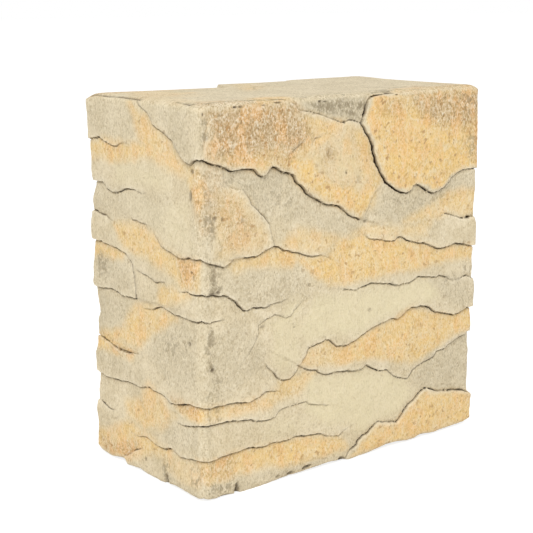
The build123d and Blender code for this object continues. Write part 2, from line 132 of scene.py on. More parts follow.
# The splits of the stone. Each gives the side of the line that lies deeper, with
# "above" on the left hand as the line is followed, how far off that side rises to
# the face again, the depths of the step from one end of the line to the other, how
# open the split is along it, and the line on the tape.
splits = [
    # The sunk leaf under the top edge.
    ("above", 60, (0.8, 1.4, 2, 2.4, 2.6, 2.4, 2), (0.4, 0.5, 0.5, 0.8, 1.8, 2, 0.5), [
     (90.1, 300.9), (92.9, 298.9), (96.8, 293.7), (104, 292.5), (110.4, 290.9), (119.9, 288.7),
     (129.3, 285.3), (140.4, 281.4), (145.7, 281.1), (149.9, 282.6), (153.8, 282), (163.6, 278.9),
     (164.9, 282.6), (166.8, 287.6), (168.2, 293.1), (169.9, 297.6), (172.7, 300.9), (180, 302.6),
     (196, 303.4)]),
    # Round the near corner, under the big upper leaf.
    ("below", 46, (0.3, 0.9, 1.6, 2.6, 3, 3, 2.8, 2.8, 3, 2.6, 1.8), (1.2,), [
     (834, 308), (836.4, 302), (840.9, 298.7), (846.4, 295.6), (850.3, 293.7), (852.6, 290.3),
     (855.9, 285.9), (861.4, 282.9), (866.4, 282), (872, 279.8), (877, 277.3), (880.9, 275.3),
     (886.4, 269.8), (892, 264.2), (897.6, 260.9), (903.1, 260), (908.7, 262.6), (913.1, 263.9),
     (916, 263.3), (920, 263.4), (924.4, 262), (930, 260.2), (937.2, 258.3), (942.2, 256.1),
     (947.2, 253.3), (957.8, 254), (965, 253.3), (968.9, 252.8), (971.1, 250.7), (974.1, 247.9),
     (976.7, 246.7), (980, 248), (983.3, 251.1), (986.1, 253.7), (989, 252.8), (994.1, 249.8),
     (996.7, 248.3), (1003.9, 247), (1007.8, 245), (1010.2, 240.9), (1013.3, 237.3),
     (1018.3, 233.9), (1022.2, 229), (1026.2, 225.9), (1029, 225), (1034.2, 222.8), (1039, 220),
     (1043.1, 218.1), (1050.3, 217.2), (1054, 216.3), (1057.8, 213.7), (1063.1, 209.6),
     (1067.6, 206.7), (1073.1, 204), (1078, 202.5)]),
    # The soft shoulder where that leaf runs out.
    ("below", 16, (0, 0.9, 1, 0), (0,), [
     (158, 203.5), (164.9, 203.1), (171.5, 212), (174.9, 218.7), (178.2, 223.1), (190.4, 229.2)]),
    # Beside and under the upper right leaf, round the right corner.
    ("below", 60, (2.2, 2.6, 2.4, 2.2, 2.4, 2.6, 2, 1.6, 1.4, 0.8, 0),
     (2.2, 2.7, 1.9, 1.3, 1.1, 1, 0.9, 1), [
     (163.6, 278.9), (166.2, 275.9), (168.4, 272), (172.1, 267.6), (175.1, 262.6), (176.4, 257.4),
     (178.4, 250.4), (180.8, 245.2), (183.8, 240.9), (187.1, 235.3), (190.2, 230.3),
     (193.8, 228.1), (198.2, 224.8), (203.2, 222), (210.4, 219.2), (215.4, 218.9), (218.8, 220.6),
     (221, 224.2), (223.8, 225.6), (229.3, 224), (234.3, 220.9), (239.9, 217.8), (244.9, 215.9),
     (250.4, 216.4), (256.6, 218.3), (261.6, 221.4), (266, 225.9), (272.7, 229.8), (280.4, 232.2),
     (287.1, 232.8), (296, 232.3), (308, 231), (320, 233), (334, 229), (348, 228), (360, 232),
     (375, 235), (394, 234)]),
    ("above", 60, (0, 0.8, 1.4, 1.9, 1.6, 1.2, 0), (2, 1.8, 1.2), [
     (248.2, 193.3), (253.2, 192.8), (258.2, 194.7), (262.1, 195.3), (267.1, 193.9),
     (272.7, 192.2), (278.2, 190.2), (283.2, 188.7), (287.1, 188.6), (291, 189.2), (293.8, 190),
     (298.2, 188.9), (309, 190), (322, 188), (336, 190), (350, 194), (366, 196), (382, 193)]),
    ("below", 40, (0.9, 1.2, 1.4, 1.8, 2.4, 2.6, 2.2, 1.6, 1, 0), (1,), [
     (169.9, 187.2), (173.2, 185), (180.4, 183.9), (187.1, 182.8), (190.4, 181.4), (196, 180.4),
     (200.4, 180.4), (204.9, 182.8), (208.2, 183), (212.7, 180.6), (217.7, 178), (223.8, 176.1),
     (230.4, 174.2), (234.9, 174.4), (240.4, 172.2), (246, 170), (250.4, 167.8), (256, 166.4),
     (262.7, 167), (268.2, 168), (273.8, 169.2), (278.2, 168.3), (284.9, 166.7), (290.4, 165.3),
     (294.9, 164.4), (310, 163), (324, 165.5), (340, 162), (358, 160), (374, 163), (390, 167),
     (408, 165), (426, 161)]),
    # Round the near corner at mid height.
    ("below", 30, (0, 1.4, 2.2, 2.6, 2.2, 2, 1.8, 1.4, 0.8, 0), (1,), [
     (853.1, 202.2), (857, 201.7), (860.9, 198.3), (865.3, 193.9), (870.9, 191.7), (877.6, 190.3),
     (884.2, 188.9), (890.9, 187.8), (895.9, 188.3), (898.7, 190), (903.1, 189.4), (909.8, 189.2),
     (915.6, 190), (920, 188.6), (926.7, 186.1), (932.2, 184.7), (937.8, 182.6), (940, 182.2),
     (943.3, 183.9), (947.8, 186.4), (951.1, 187.4), (956.7, 187.4), (962.2, 186.3), (970, 186.1),
     (975.6, 188.1), (982.2, 190.6), (987.8, 192.2), (992.8, 190.6), (998.9, 187.2),
     (1005.6, 185.3), (1013.3, 183), (1020, 180.6), (1026.4, 178.7), (1035.3, 178.7),
     (1040.9, 176.9), (1047.6, 173.6), (1055.3, 171)]),
    ("below", 26, (0, 1.2, 2, 2, 1.8, 1.6, 1.2, 0.8, 0), (1,), [
     (884.8, 161.7), (892, 162.2), (898.7, 163.3), (903.1, 162.4), (909.8, 162.6), (916, 163.3),
     (923.3, 162), (928.9, 161.7), (936.7, 160.3), (942.2, 159.4), (946.7, 156.7), (951.1, 153.3),
     (955, 148.9), (957.8, 146.1), (961.1, 145.2), (965.6, 146.7), (972.2, 145.9), (978.9, 144.7),
     (986.7, 146.9), (995.6, 147), (1000, 148.7), (1004.4, 149.4)]),
    ("below", 24, (0, 0.9, 1.3, 1.5, 1.8, 1.6, 0), (2.4, 1.8, 1, 1, 1, 1), [
     (835.6, 139.4), (838.1, 139.2), (844.2, 140), (849.8, 140.3), (854.2, 142.8), (858.7, 144.2),
     (863.1, 145.2), (866.4, 144.7), (873.1, 143), (878.7, 142), (887.6, 142.6), (896.4, 142.2),
     (904.2, 141.7), (909.8, 141.7), (916, 143), (920, 141.9), (926.7, 141.3), (932.2, 141.4),
     (937.8, 141.7), (942.2, 141.3)]),
    # A blind split on the front.
    ("below", 24, (0, 0.6, 0.8, 1, 0.8, 0), (0.6,), [
     (35.7, 101.7), (40.7, 106.1), (45.7, 110.6), (49.6, 115.6), (54, 120.6), (56, 124.4),
     (55.4, 128.9), (56.2, 131.3), (60.7, 133.6), (66.2, 135.8), (73.4, 137.6), (78.4, 135.6),
     (84, 133.3), (87.9, 134.1), (91.8, 138.3), (97.3, 142.2), (103.4, 147.8), (105.4, 149.4)]),
    ("below", 30, (0.8, 1.2, 1.5, 1.6, 1.4, 1.2, 0.8, 0), (1,), [
     (145.4, 147), (150.4, 146.1), (156.6, 145), (161.6, 145.9), (168.2, 146.9), (173.8, 148.1),
     (177.1, 148), (181.6, 146.7), (189.3, 145.6), (194.9, 144.8), (200.7, 143.1), (205.7, 141.5),
     (212.7, 142.4), (218.2, 142), (222.7, 143.3), (228.2, 145.9), (233.8, 145), (240.4, 143.9),
     (251.6, 142.2), (256, 143), (260.4, 141.7), (265.4, 139.8), (269.3, 137.6), (274.9, 136.3),
     (280.4, 135.8), (284.9, 136.9)]),
    ("above", 46, (0, 1.2, 2.2, 2.5, 2, 1.4, 0), (1,), [
     (271, 137.2), (274.9, 136.3), (280.4, 135.8), (284.9, 136.9), (289.9, 137.2), (293.8, 135.9),
     (298.2, 134.1), (308, 135), (320, 133), (334, 131), (350, 134), (366, 137)]),
    # The long split across the front and round the right end.
    ("below", 40, (1, 1.2, 1.6, 1.8, 2.2, 2.6, 3.2, 2.8, 2.4, 2.6, 2.2, 1.6, 0.8, 0), (1.1,), [
     (65.1, 96.6), (69.6, 92.7), (73.4, 89.3), (75.1, 86.2), (77.9, 84), (82.9, 83), (88.4, 82.4),
     (91.8, 84.9), (94.6, 88.2), (97.3, 92.1), (100.7, 96), (104, 99.3), (105.4, 103.3),
     (108.2, 105), (113.8, 105.8), (119.9, 107.2), (123.8, 107.8), (128.2, 108.3), (130.4, 106.7),
     (134.3, 103.3), (137.1, 101.1), (142.7, 100.2), (148.2, 100), (152.7, 101.7), (158.2, 102.8),
     (162.7, 105), (169.3, 107.2), (175.4, 109.7), (181.6, 111.1), (190.4, 112.8), (198.2, 114.4),
     (201.6, 113.6), (204.9, 112.2), (210.4, 114.4), (216, 118), (221.6, 120.3), (228.2, 119.4),
     (234.9, 119.4), (240.4, 117.8), (243.8, 116.7), (247.1, 113.9), (251.6, 111.3), (257.1, 110),
     (262.7, 108.1), (269.3, 106.3), (274.9, 105), (281.6, 106.1), (288.2, 108.3), (290.4, 109.4),
     (296, 108.7), (312, 108), (328, 105), (344, 107), (360, 112), (378, 114), (395, 110),
     (412, 108), (430, 111), (446, 113), (461, 112), (478, 110), (500, 113), (522, 109),
     (546, 105), (570, 108), (594, 104)]),
    ("below", 54, (1.2, 1.4, 2, 2.2, 1.2, 1.6, 2.6, 2.6, 1.6, 0), (1,), [
     (97.1, 91.8), (100.4, 89.9), (106, 87.1), (110.4, 85.8), (115.4, 84.9), (118.8, 82.1),
     (122.1, 79.9), (126.6, 78.8), (132.7, 79), (138.2, 79.1), (143.8, 78.2), (149.3, 77.7),
     (154.9, 76.2), (161.6, 76), (166, 76.9), (170.4, 78.8), (172.7, 77.7), (177.1, 74.9),
     (183.8, 71.6), (190.4, 70.2), (195.4, 69.9), (198.2, 67.1), (201.6, 64), (205.4, 61.9),
     (210.4, 59.9), (215.4, 58), (219.9, 57.7), (224.9, 63.2), (230.4, 66.2), (238.2, 68.2),
     (246, 69.6), (250.4, 71), (253.8, 74.9), (259.3, 76), (264.9, 76.2), (270.4, 78.8),
     (278.2, 81.6), (282.7, 83.4), (290.4, 84.3), (293.8, 86), (302, 86.5), (310, 85), (326, 81),
     (340, 80), (358, 84)]),
    ("below", 26, (0, 1.4, 2.2, 2.6, 2.2, 1.8, 1.4, 0.9, 0.8, 1, 0.6),
     (0.7, 1, 2, 2, 1.5, 1, 0.7, 0.7, 0.8, 0.8, 0.6), [
     (877.6, 57.1), (884.2, 56.6), (890.9, 56.2), (895.3, 57.4), (905.3, 59.6), (912, 60.8),
     (915, 61), (920, 60.7), (925.6, 60.2), (932.2, 60.4), (938.9, 60.7), (945.6, 60.2),
     (951.1, 58.8), (957.8, 58.2), (965.6, 57.7), (967.8, 55.4), (975.6, 54.1), (983.3, 53.6),
     (988.3, 54.7), (992.2, 58.2), (996.1, 59.6), (1002.2, 59.9), (1010, 60.2), (1021, 60.5),
     (1024.2, 57.7), (1029.8, 56), (1035.9, 54.3), (1043, 52.7)]),
    ("below", 30, (0, 1.2, 1.6, 2, 2.4, 2.4, 2, 1.8, 1.6, 1.4, 1, 0), (1,), [
     (816.7, 29.9), (826.7, 30.4), (833.3, 32.1), (837.6, 32.9), (843.1, 31.9), (848.7, 30.7),
     (854.2, 29.9), (864.2, 30.2), (868.7, 31.8), (873.7, 33.8), (880, 31.6), (885.9, 29.9),
     (892, 30.4), (898.7, 31.6), (907.6, 32.7), (916, 33.2), (920, 32.7), (926.7, 32.3),
     (931.7, 33.2), (937.8, 34.1), (945.6, 34.1), (954.4, 34.3), (961.7, 34.9), (967.8, 33.8),
     (975.6, 32.3), (982.2, 32.9), (986.7, 33.6), (992.2, 32.9), (997.8, 32.4), (1004.4, 32.7),
     (1008.9, 33.8), (1013.3, 33.2), (1018.5, 32.1), (1025.3, 31.3), (1031.4, 30.7),
     (1036.4, 29.9), (1038.7, 28.2), (1044.2, 26.6), (1050.3, 24.9), (1055.9, 24), (1059.8, 26.2),
     (1066.4, 28.8), (1072, 30.1), (1075.9, 31)]),
    # The lowest split of the front, hollow above it.
    ("above", 90, (0.8, 1.4, 1.6, 2, 2.2, 2.6, 3, 3.2, 2.8, 2.2, 1.4, 0), (1.1,), [
     (147, -2), (149.9, 4.9), (151.6, 7.7), (156, 9.3), (159.9, 10.4), (161, 13.8), (167.1, 17.1),
     (173.2, 18.8), (176, 21.6), (180.4, 24), (184.9, 25.2), (190.4, 23.8), (198.2, 22.3),
     (206.6, 20.4), (209.3, 22.1), (212.7, 26), (216.6, 29.9), (221, 33.2), (227.1, 35.4),
     (230.4, 38.2), (233.8, 40.4), (236.6, 42.1), (240.4, 43.6), (244.9, 42.7), (250.4, 40.4),
     (257.1, 37.7), (263.8, 36.6), (270.4, 35.4), (279.3, 34), (290.4, 32.1), (298.8, 27.7),
     (312, 30), (330, 34), (346, 37), (362, 34), (380, 31), (400, 35)]),
    # The top leaf of the back corner.
    ("below", 50, (0, 0.8, 1.6, 2, 1.8, 1.4, 1.2, 0.6, 0), (1.1,), [
     (660, 262), (680, 266), (700, 263), (720, 268), (742, 266), (758, 267), (761.1, 267.2),
     (766.7, 267.9), (774.4, 268.9), (779.4, 270), (786.7, 267), (794.4, 265.3), (798.9, 264.2),
     (804.4, 264.6), (810, 267), (814.4, 268.3), (821.1, 267.6), (827.8, 268.4), (832.2, 269.6)]),
    ("below", 32, (0, 1.2, 2.4, 3.4, 3.9, 3, 2, 1.4, 1, 0), (1,), [
     (626, 240), (648, 236), (670, 239), (690, 234), (712, 236), (734, 232), (758, 232.8),
     (768.3, 232.8), (775.6, 232.9), (782.2, 233.9), (786.7, 229.6), (794.4, 227.2),
     (803.3, 227.3), (808.9, 229.2), (815.6, 232), (822.2, 232.6), (827.8, 232.8), (835.6, 231.8),
     (839, 231.2), (844.2, 232), (848.7, 232.2)]),
    ("above", 50, (0, 1.2, 2.4, 2.8, 2.2, 1.2, 0), (1,), [
     (676, 208), (698, 204), (720, 208), (742, 205), (758, 206.5), (763.3, 207.3), (767.8, 207.8),
     (775.6, 206.7), (782.2, 205.9), (786.7, 206.3), (790, 204.4), (795.6, 203.6), (802, 203)]),
    ("below", 14, (0, 0.7, 0.8, 0.7, 0), (1,), [
     (820, 209.4), (822.2, 209.2), (826.7, 208.7), (832.2, 209.2), (834.8, 207.8), (839.8, 208),
     (846.4, 207.5), (850, 206.6)]),
    # The square leaf of the back corner.
    ("below", 40, (0, 1.2, 2.6, 3.4, 3.6, 2.6, 2, 1.6, 1.6, 1), (1,), [
     (652, 190), (672, 186), (694, 188), (716, 184), (738, 186), (758, 184), (766.7, 184.1),
     (772.2, 183.7), (777.8, 184.4), (784.4, 183.3), (792.2, 183.1), (801.1, 182.2),
     (808.9, 181.1), (815.6, 180), (818.9, 177.2), (822.8, 171.7), (823.3, 165.6), (825, 160),
     (825.6, 152.2), (826.7, 145)]),
    # The open side of that leaf.
    ("above", 8, (0.8, 1.5, 1.6, 1.6, 1.2), (2.6, 3.6, 4.2, 4.2, 3.4), [
     (821.4, 173.6), (822.8, 167), (824.3, 160.6), (825, 152.6), (826, 146)]),
    ("below", 100, (0, 1.4, 3, 4.4, 4.8, 3.4, 2.2, 1.4), (1,), [
     (596, 150), (618, 146), (642, 142), (664, 146), (686, 149), (708, 145), (730, 147),
     (758, 145), (766.7, 144.4), (772.2, 144.2), (776.7, 145), (783.3, 146.1), (790, 147),
     (795.6, 146.1), (805.6, 144.1), (812.2, 144.4), (821.1, 144.8), (826.7, 145)]),
    ("below", 18, (0, 1, 1.2, 1, 0.8, 0), (1,), [
     (827.8, 169.4), (832.1, 169), (837.7, 167.7), (846.4, 166.9), (852, 165), (856.4, 163.6),
     (862, 164.7), (867.6, 165.9), (870.9, 164.1), (874.2, 163.9)]),
    # The deep hollow of the back corner.
    ("above", 100, (0, 1.4, 3, 4.2, 4, 3, 2.2, 1.4, 0), (1.1,), [
     (608, 110), (630, 106), (654, 102), (678, 99), (702, 103), (726, 98), (748, 100),
     (758, 101.3), (768.3, 101.8), (772.2, 101.2), (778.9, 101), (785.6, 99.9), (792.2, 98.2),
     (797.8, 96.6), (801.1, 96), (807.8, 95.8), (812.2, 96.9), (818.9, 98), (826.7, 99.1),
     (836, 99.5)]),
    ("below", 34, (0, 1.4, 3, 3.6, 3.8, 3, 2.2, 1.8, 1.2, 1.4, 2, 2.4, 2, 0.8), (1,), [
     (586, 84), (610, 80), (634, 77), (658, 74), (682, 77), (708, 72), (734, 74), (758, 71.6),
     (764.4, 70.7), (767.8, 70.2), (776.7, 69.9), (786.7, 70.1), (794.4, 70.7), (801.1, 71.3),
     (807.8, 72.3), (816.7, 72.9), (826.7, 72.4), (833.3, 73), (837.6, 74.9), (843.1, 76),
     (850.9, 74.1), (857.6, 74.6), (865.3, 73.8), (873.1, 70.2), (880.9, 71), (887.6, 72.7),
     (894.2, 74.9), (900.9, 75.7), (909.8, 75.7), (915.6, 75.6), (920, 75.1), (924.4, 74.1),
     (930, 74.7), (936.7, 74.6), (943.3, 74.7), (947.8, 74.9), (954.4, 73.4), (961.1, 72.3),
     (966.1, 72.7), (971.1, 74.3), (975.6, 75.1), (978.9, 76.9), (985.6, 76.3), (990, 75.1)]),
    ("above", 50, (0, 1.2, 2.2, 2.6, 2.2, 1, 0), (1, 1, 1, 1.9, 2.2), [
     (656, 36), (682, 40), (706, 38), (732, 43), (758, 45.2), (762.8, 44.9), (768.9, 44.7),
     (775.6, 43.4), (784.4, 42.1), (791.1, 42.9), (796, 44)]),
    # The flake over the bed of the left end.
    ("above", 14, (1.8, 2.2, 1.6, 0.8, 0), (1,), [
     (804, 4), (805.6, 7.1), (810.6, 9.3), (813.3, 11.6), (816.7, 13.8), (821.1, 16.6),
     (826.7, 18.6), (831.1, 21), (834, 23)]),
    # Right end and back.
    ("below", 34, (0, 1, 1.8, 2.4, 2.8, 2.6, 2, 1.4, 1, 0), (1,), [
     (358, 270), (376, 266), (392, 262), (408, 264), (426, 270), (444, 268), (460, 266),
     (472, 268), (490, 264), (510, 261), (528, 265), (548, 269), (570, 266), (588, 262),
     (606, 264)]),
    ("below", 34, (0, 1.2, 2, 2.8, 2.6, 2, 1.6, 1.2, 0.8, 0), (1,), [
     (386, 206), (400, 200), (416, 203), (432, 199), (448, 201), (458, 200), (474, 203),
     (494, 199), (516, 197), (538, 202), (562, 205), (584, 201), (608, 198), (628, 201),
     (648, 206)]),
    ("below", 26, (0, 1, 1.8, 2.4, 2, 1.6, 1, 0), (1,), [
     (394, 140), (412, 138), (430, 142), (446, 139), (458, 141), (476, 143), (498, 139),
     (520, 136), (542, 140), (566, 143), (590, 140)]),
    ("below", 30, (0, 1, 1.8, 2.6, 2.6, 2, 1.4, 0.8, 0), (1,), [
     (366, 62), (388, 58), (404, 60), (420, 56), (438, 60), (458, 61), (476, 64), (498, 60),
     (522, 57), (548, 61), (574, 64), (598, 60), (624, 62)]),
    ("below", 24, (0, 1.2, 1.8, 2, 1.6, 1.2, 0.8, 0), (1,), [
     (408, 30), (426, 27), (444, 29), (458, 28), (480, 31), (504, 27), (530, 24), (556, 28),
     (582, 32), (608, 29), (636, 26)]),
    # Back.
    ("below", 24, (0, 0.8, 1.2, 0.8, 0), (1,), [
     (576, 284), (598, 280), (618, 276), (640, 279), (658, 283), (682, 281)]),
    # The small leaf at the near corner, drawn downwards from its tip.
    ("below", 26, (1.4, 1.4, 1.6, 1.6, 1.3, 1, 0.9, 0.7, 0.6, 0.5, 0.4), (0.7,), [
     (72.3, 191.6), (71.4, 193.5), (69, 201.3), (67.5, 208.9), (62.8, 214.4), (58.2, 219.3),
     (54, 222.8), (50.5, 225.6), (47.4, 231.6), (43, 237.3), (38.4, 238), (34, 239.2),
     (27.4, 242.5), (25.4, 247.6), (24.6, 253.4)]),
    # The shallow groove down the near edge of the big upper leaf.
    ("below", 7, (0.3, 0.7, 0.9, 0.9, 0.8, 0.9, 0.6), (0,), [
     (30.4, 300.7), (28.1, 296.8), (24.4, 294.1), (17.2, 293.4), (12.8, 292.5), (9.9, 287.5),
     (8, 279.5), (6.7, 272.6), (5.4, 265.7)]),
    # Shallow grooves on the big upper leaf.
    ("below", 9, (0.2, 0.8, 0.6, 0.2), (0.5,), [
     (84.1, 260.5), (94, 266.2), (104.1, 272)]),
    ("below", 9, (0.2, 0.8, 0.4), (0.5,), [
     (108.2, 267.5), (112.3, 271.4), (119.4, 272.7)]),
    ("below", 24, (0, 0.8, 1.2, 0.8, 0), (1,), [
     (516, 170), (538, 166), (560, 168), (582, 163), (606, 165), (628, 169)]),
]


def beside(line, along, high):
    """How far points of the tape lie from a line, plus on its upper side, where on
    the line, from 0 to 1, and which way its upper side faces there."""
    line = np.array(line, float)
    runs = np.diff(line, axis=0)
    sizes = np.hypot(*runs.T)
    reached = np.concatenate([[0], np.cumsum(sizes)])
    far_off, hair = 1e9, 1e-6
    away = np.full(along.shape, far_off)
    side = np.zeros(along.shape)
    where = np.zeros(along.shape)
    facing = np.zeros((2,) + along.shape)
    for (start_s, start_z), (run_s, run_z), size, before in zip(line, runs, sizes, reached):
        off_s, off_z = along - start_s, high - start_z
        done = share((off_s * run_s + off_z * run_z) / size**2)
        gap = np.hypot(off_s - done * run_s, off_z - done * run_z)
        upper = (run_s * off_z - run_z * off_s) / size
        nearer = (gap < away - hair) | ((gap < away + hair) & (np.abs(upper) > np.abs(side)))
        away = np.where(nearer, gap, away)
        side = np.where(nearer, upper, side)
        where = np.where(nearer, (before + done * size) / reached[-1], where)
        facing[:, nearer] = np.array([[-run_z / size], [run_s / size]])
    return np.where(side < 0, -away, away), where, facing


def knots(where, values):
    """The values given from one end of a line to the other, read at places on it."""
    return np.interp(where, np.linspace(0, 1, len(values)), values)


# The ragged course of a split within its drawn line, how its lip is chipped and how
# far it gapes.
ragged_s = 0.55 * hills(4.5, 3.1) + 0.25 * hills(2.2, 8.2)
ragged_z = 0.55 * hills(4.5, 17.7) + 0.25 * hills(2.2, 29.4)
chipping = hills(7, 41.3)
gaping = np.clip(0.75 + 0.6 * hills(11, 47.9) + 0.35 * hills(4, 49.6), 0.25, 1.25)

# The two lips of a split, in mm from its line, and how near the line mesh points are
# caught and moved onto a lip: further where the line is steep.
proud_lip, deep_lip, middle = -0.25, 0.4, 0.2
proud_catch, deep_catch, steep_catch = -0.85, 1.15, 1.45
least_step = 0.25
farthest_move = 0.9

# A split gapes fully once its step is full_step deep. Its slot, its flaked lip, its painted
# shade and dirt, its worn edge with a painted highlight above it and the painted shade
# under it each fade out over so many mm.
full_step, slot_depth, ragged_reach = 1.4, 1.5, 3
slot_half, lip_fade, shade_half, worn_and_lit_fade, edge_shade_fade = 0.7, 0.9, 0.55, 1.5, 3.5

lower, upper, opened, recess_shade_and_dirt, worn_and_lit_edge, shade_under_edge, moved_s, moved_z = np.zeros(
    (8, len(place))
)
for deeper, run, steps, slits, line in splits:
    line = np.array(line, float)
    for turn in (-girth, 0, girth):
        low_s, low_z = line.min(0) - run - ragged_reach
        high_s, high_z = line.max(0) + run + ragged_reach
        near = (tape + turn > low_s) & (tape + turn < high_s) & (up > low_z) & (up < high_z)
        near &= inset < rim_width
        if not near.any():
            continue
        gap, where, facing = beside(
            line, (tape + turn + ragged_s)[near], (up + ragged_z)[near]
        )
        if deeper == "below":
            gap, facing = -gap, -facing
        step = knots(where, steps)
        # A split whose deep side faces left along the tape opens less and gets lighter painted
        # shade, as the lamp lights that side.
        turned = np.interp(facing[0], [-0.75, -0.15], [0.8, 1])
        open_here = knots(where, slits)
        open_here = open_here * share(step / full_step) * gaping[near] * turned
        clean = on_side[near] & (step > least_step)
        onto = np.where(clean & (gap > proud_catch) & (gap <= middle), proud_lip - gap, 0)
        reach = np.interp(np.abs(facing[0]), [0.7, 0.9], [deep_catch, steep_catch])
        onto = np.where(clean & (gap > middle) & (gap < reach), deep_lip - gap, onto)
        moved_s[near] += onto * facing[0]
        moved_z[near] += onto * facing[1]
        gap = gap + onto
        slope = step * share(1 - gap / run) * (gap > 0)
        if deeper == "below":
            lower[near] += slope
        else:
            upper[near] = np.maximum(upper[near], slope)
        # The proud lip is flaked, and the slot is deepest at the deep lip.
        proud, sunken = np.minimum(gap, 0), np.maximum(gap, 0)
        flake = np.clip(0.3 + 1.4 * chipping[near], 0.15, 1.3)
        lip = flake * np.exp(proud / lip_fade) * (gap <= 0)
        slot = slot_depth * share(1 - np.abs(gap - deep_lip) / slot_half) * (gap > 0)
        opened[near] += open_here * (0.7 * lip + slot)
        # Painted into the colour: shade and dirt in the open slot, a painted highlight with wear
        # on the proud edge, and painted shade on the deep side under the edge.
        for layer, seen in (
            (recess_shade_and_dirt, open_here * share(1.2 - np.abs(gap - deep_lip) / shade_half)),
            (worn_and_lit_edge, share(step) * np.exp(proud / worn_and_lit_fade) * (gap <= 0)),
            (shade_under_edge, share(step / 2) * np.exp(-sunken / edge_shade_fade) * (gap > 0)),
        ):
            layer[near] = np.maximum(layer[near], seen)

hollow = np.maximum(lower, upper)

# Flakes and nicks out of the faces and the bed edge, and holes left by air: each
# gives its place on the tape and its height, its half width and half height, its
# depth and how dark its painted shade and dirt are.
nicks = [
    (34.2, 1, 2.6, 9, 4, 0.95), (865, 0, 3, 10, 4.5, 0.85), (104.5, 3, 5, 2.5, 3, 0.8),
    (143, 1, 4, 3, 3, 0.8), (146.2, 241.3, 1.2, 1.2, 2, 1), (144.9, 281.4, 1.2, 1.2, 2, 1),
    (836.4, 302, 1.6, 1.4, 1.5, 1), (173, 125, 2.2, 2.2, 0.8, 0.4), (168, 200, 2.4, 2, 0.8, 0.4),
    (107, 156, 2, 1.8, 0.8, 0.4), (904.2, 254, 3, 2.4, 1.6, 0.75), (903.6, 236, 2, 5, 1.2, 0.7),
    (903, 178.7, 2, 1.2, 0.9, 0.8), (906, 175, 1.2, 3, 0.7, 0.5), (899, 122.9, 3, 2.2, 0.9, 0.6),
    (835.5, 13.3, 1.2, 2.2, 1, 0.7), (808.5, 97.5, 13, 1.5, 1.6, 0.5),
    (289, 190, 5, 1.5, 1.4, 0.7), (35, 301.4, 2.4, 1.2, 1.5, 0.9), (40, 301.2, 2.2, 1.2, 1.4, 0.9),
    (76, 302.6, 6, 0.8, 1.4, 0.9), (62, 301.4, 3, 0.7, 1, 0.7), (119, 300.6, 2.2, 1, 1.6, 1),
    (124, 300.2, 3, 0.6, 1, 0.8), (199, 302.2, 2, 0.8, 1.2, 0.8), (5, 297.2, 0.9, 1.8, 1, 1),
    (15.5, 219.3, 2.4, 2, 0.9, 0.7), (22.6, 217.8, 1.6, 2.4, 0.6, 0.5),
    (11, 104.5, 1.6, 1.6, 1, 0.9), (60.7, 129.2, 3, 1.4, 0.6, 0.5), (92.2, 124, 0.9, 0.8, 1, 0.9),
    (91.4, 127.3, 0.6, 0.6, 0.8, 0.7), (88, 2, 4, 2.4, 2.2, 0.7), (128, 258.5, 4, 5, 0.8, 0.2),
    (160, 235, 3, 4, 0.6, 0.2), (75, 3, 2.4, 1.4, 1.6, 0.6), (108, 4, 2.6, 1.6, 1.8, 0.7),
    (22, 0, 8, 1.4, 1.6, 0.6), (41.3, 214.4, 2, 3, 0.6, 0.4), (12.3, 162.5, 5, 0.9, 1.2, 0.8),
    (18, 163, 2.4, 1.6, 1, 0.8), (358, 3, 7, 5, 4, 0.3), (416, 4, 4, 6, 3.5, 0.3),
    (528, 3, 6, 5, 4, 0.3), (640, 5, 3.5, 8, 3.5, 0.4), (702, 2, 7, 4, 4, 0.3),
    (372, 214, 1.3, 1.3, 1.6, 0.9), (515, 232, 1.4, 1.2, 1.8, 0.9), (668, 121, 1.2, 1.2, 1.6, 0.9),
    (571, 47, 1.3, 1.2, 1.6, 0.9), (621, 262, 2.4, 2, 1, 0.4), (348, 146, 2.4, 2.2, 0.9, 0.4),
    (432, 84, 2, 2, 0.9, 0.4), (486, 176, 2.2, 2, 0.9, 0.4),
]


def tape_from(mark):
    """How far each point lies along the tape from a mark, the shorter way round."""
    return (tape - mark + girth / 2) % girth - girth / 2


nick_reach = 2
nicked = np.zeros(len(place))
for nick_s, nick_z, half_s, half_z, deep, dark in nicks:
    inside = share(1 - (tape_from(nick_s) / half_s)**2 - ((up - nick_z) / half_z)**2)
    inside = inside * (inset < nick_reach)
    nicked += deep * inside**0.7
    # The inside of a nick is painted dark, for its shade and dirt.
    recess_shade_and_dirt = np.maximum(recess_shade_and_dirt, dark * share(1.6 * inside) * 0.75)

# The leaves are gently uneven and their skin is wrinkled like leather. The skin is
# never quite as proud as the bar it is cut from.
uneven = 0.75 + 0.9 * hills(62, 0.4) + 0.5 * hills(24, 5.6) + 0.3 * hills(9, 12.9)
wrinkled = 0.2 * hills(4.2, 51.7) + 0.12 * hills(2.3, 60.2)
least_sunk = 0.12
sunk = np.maximum(least_sunk, uneven + wrinkled) + hollow + opened + nicked

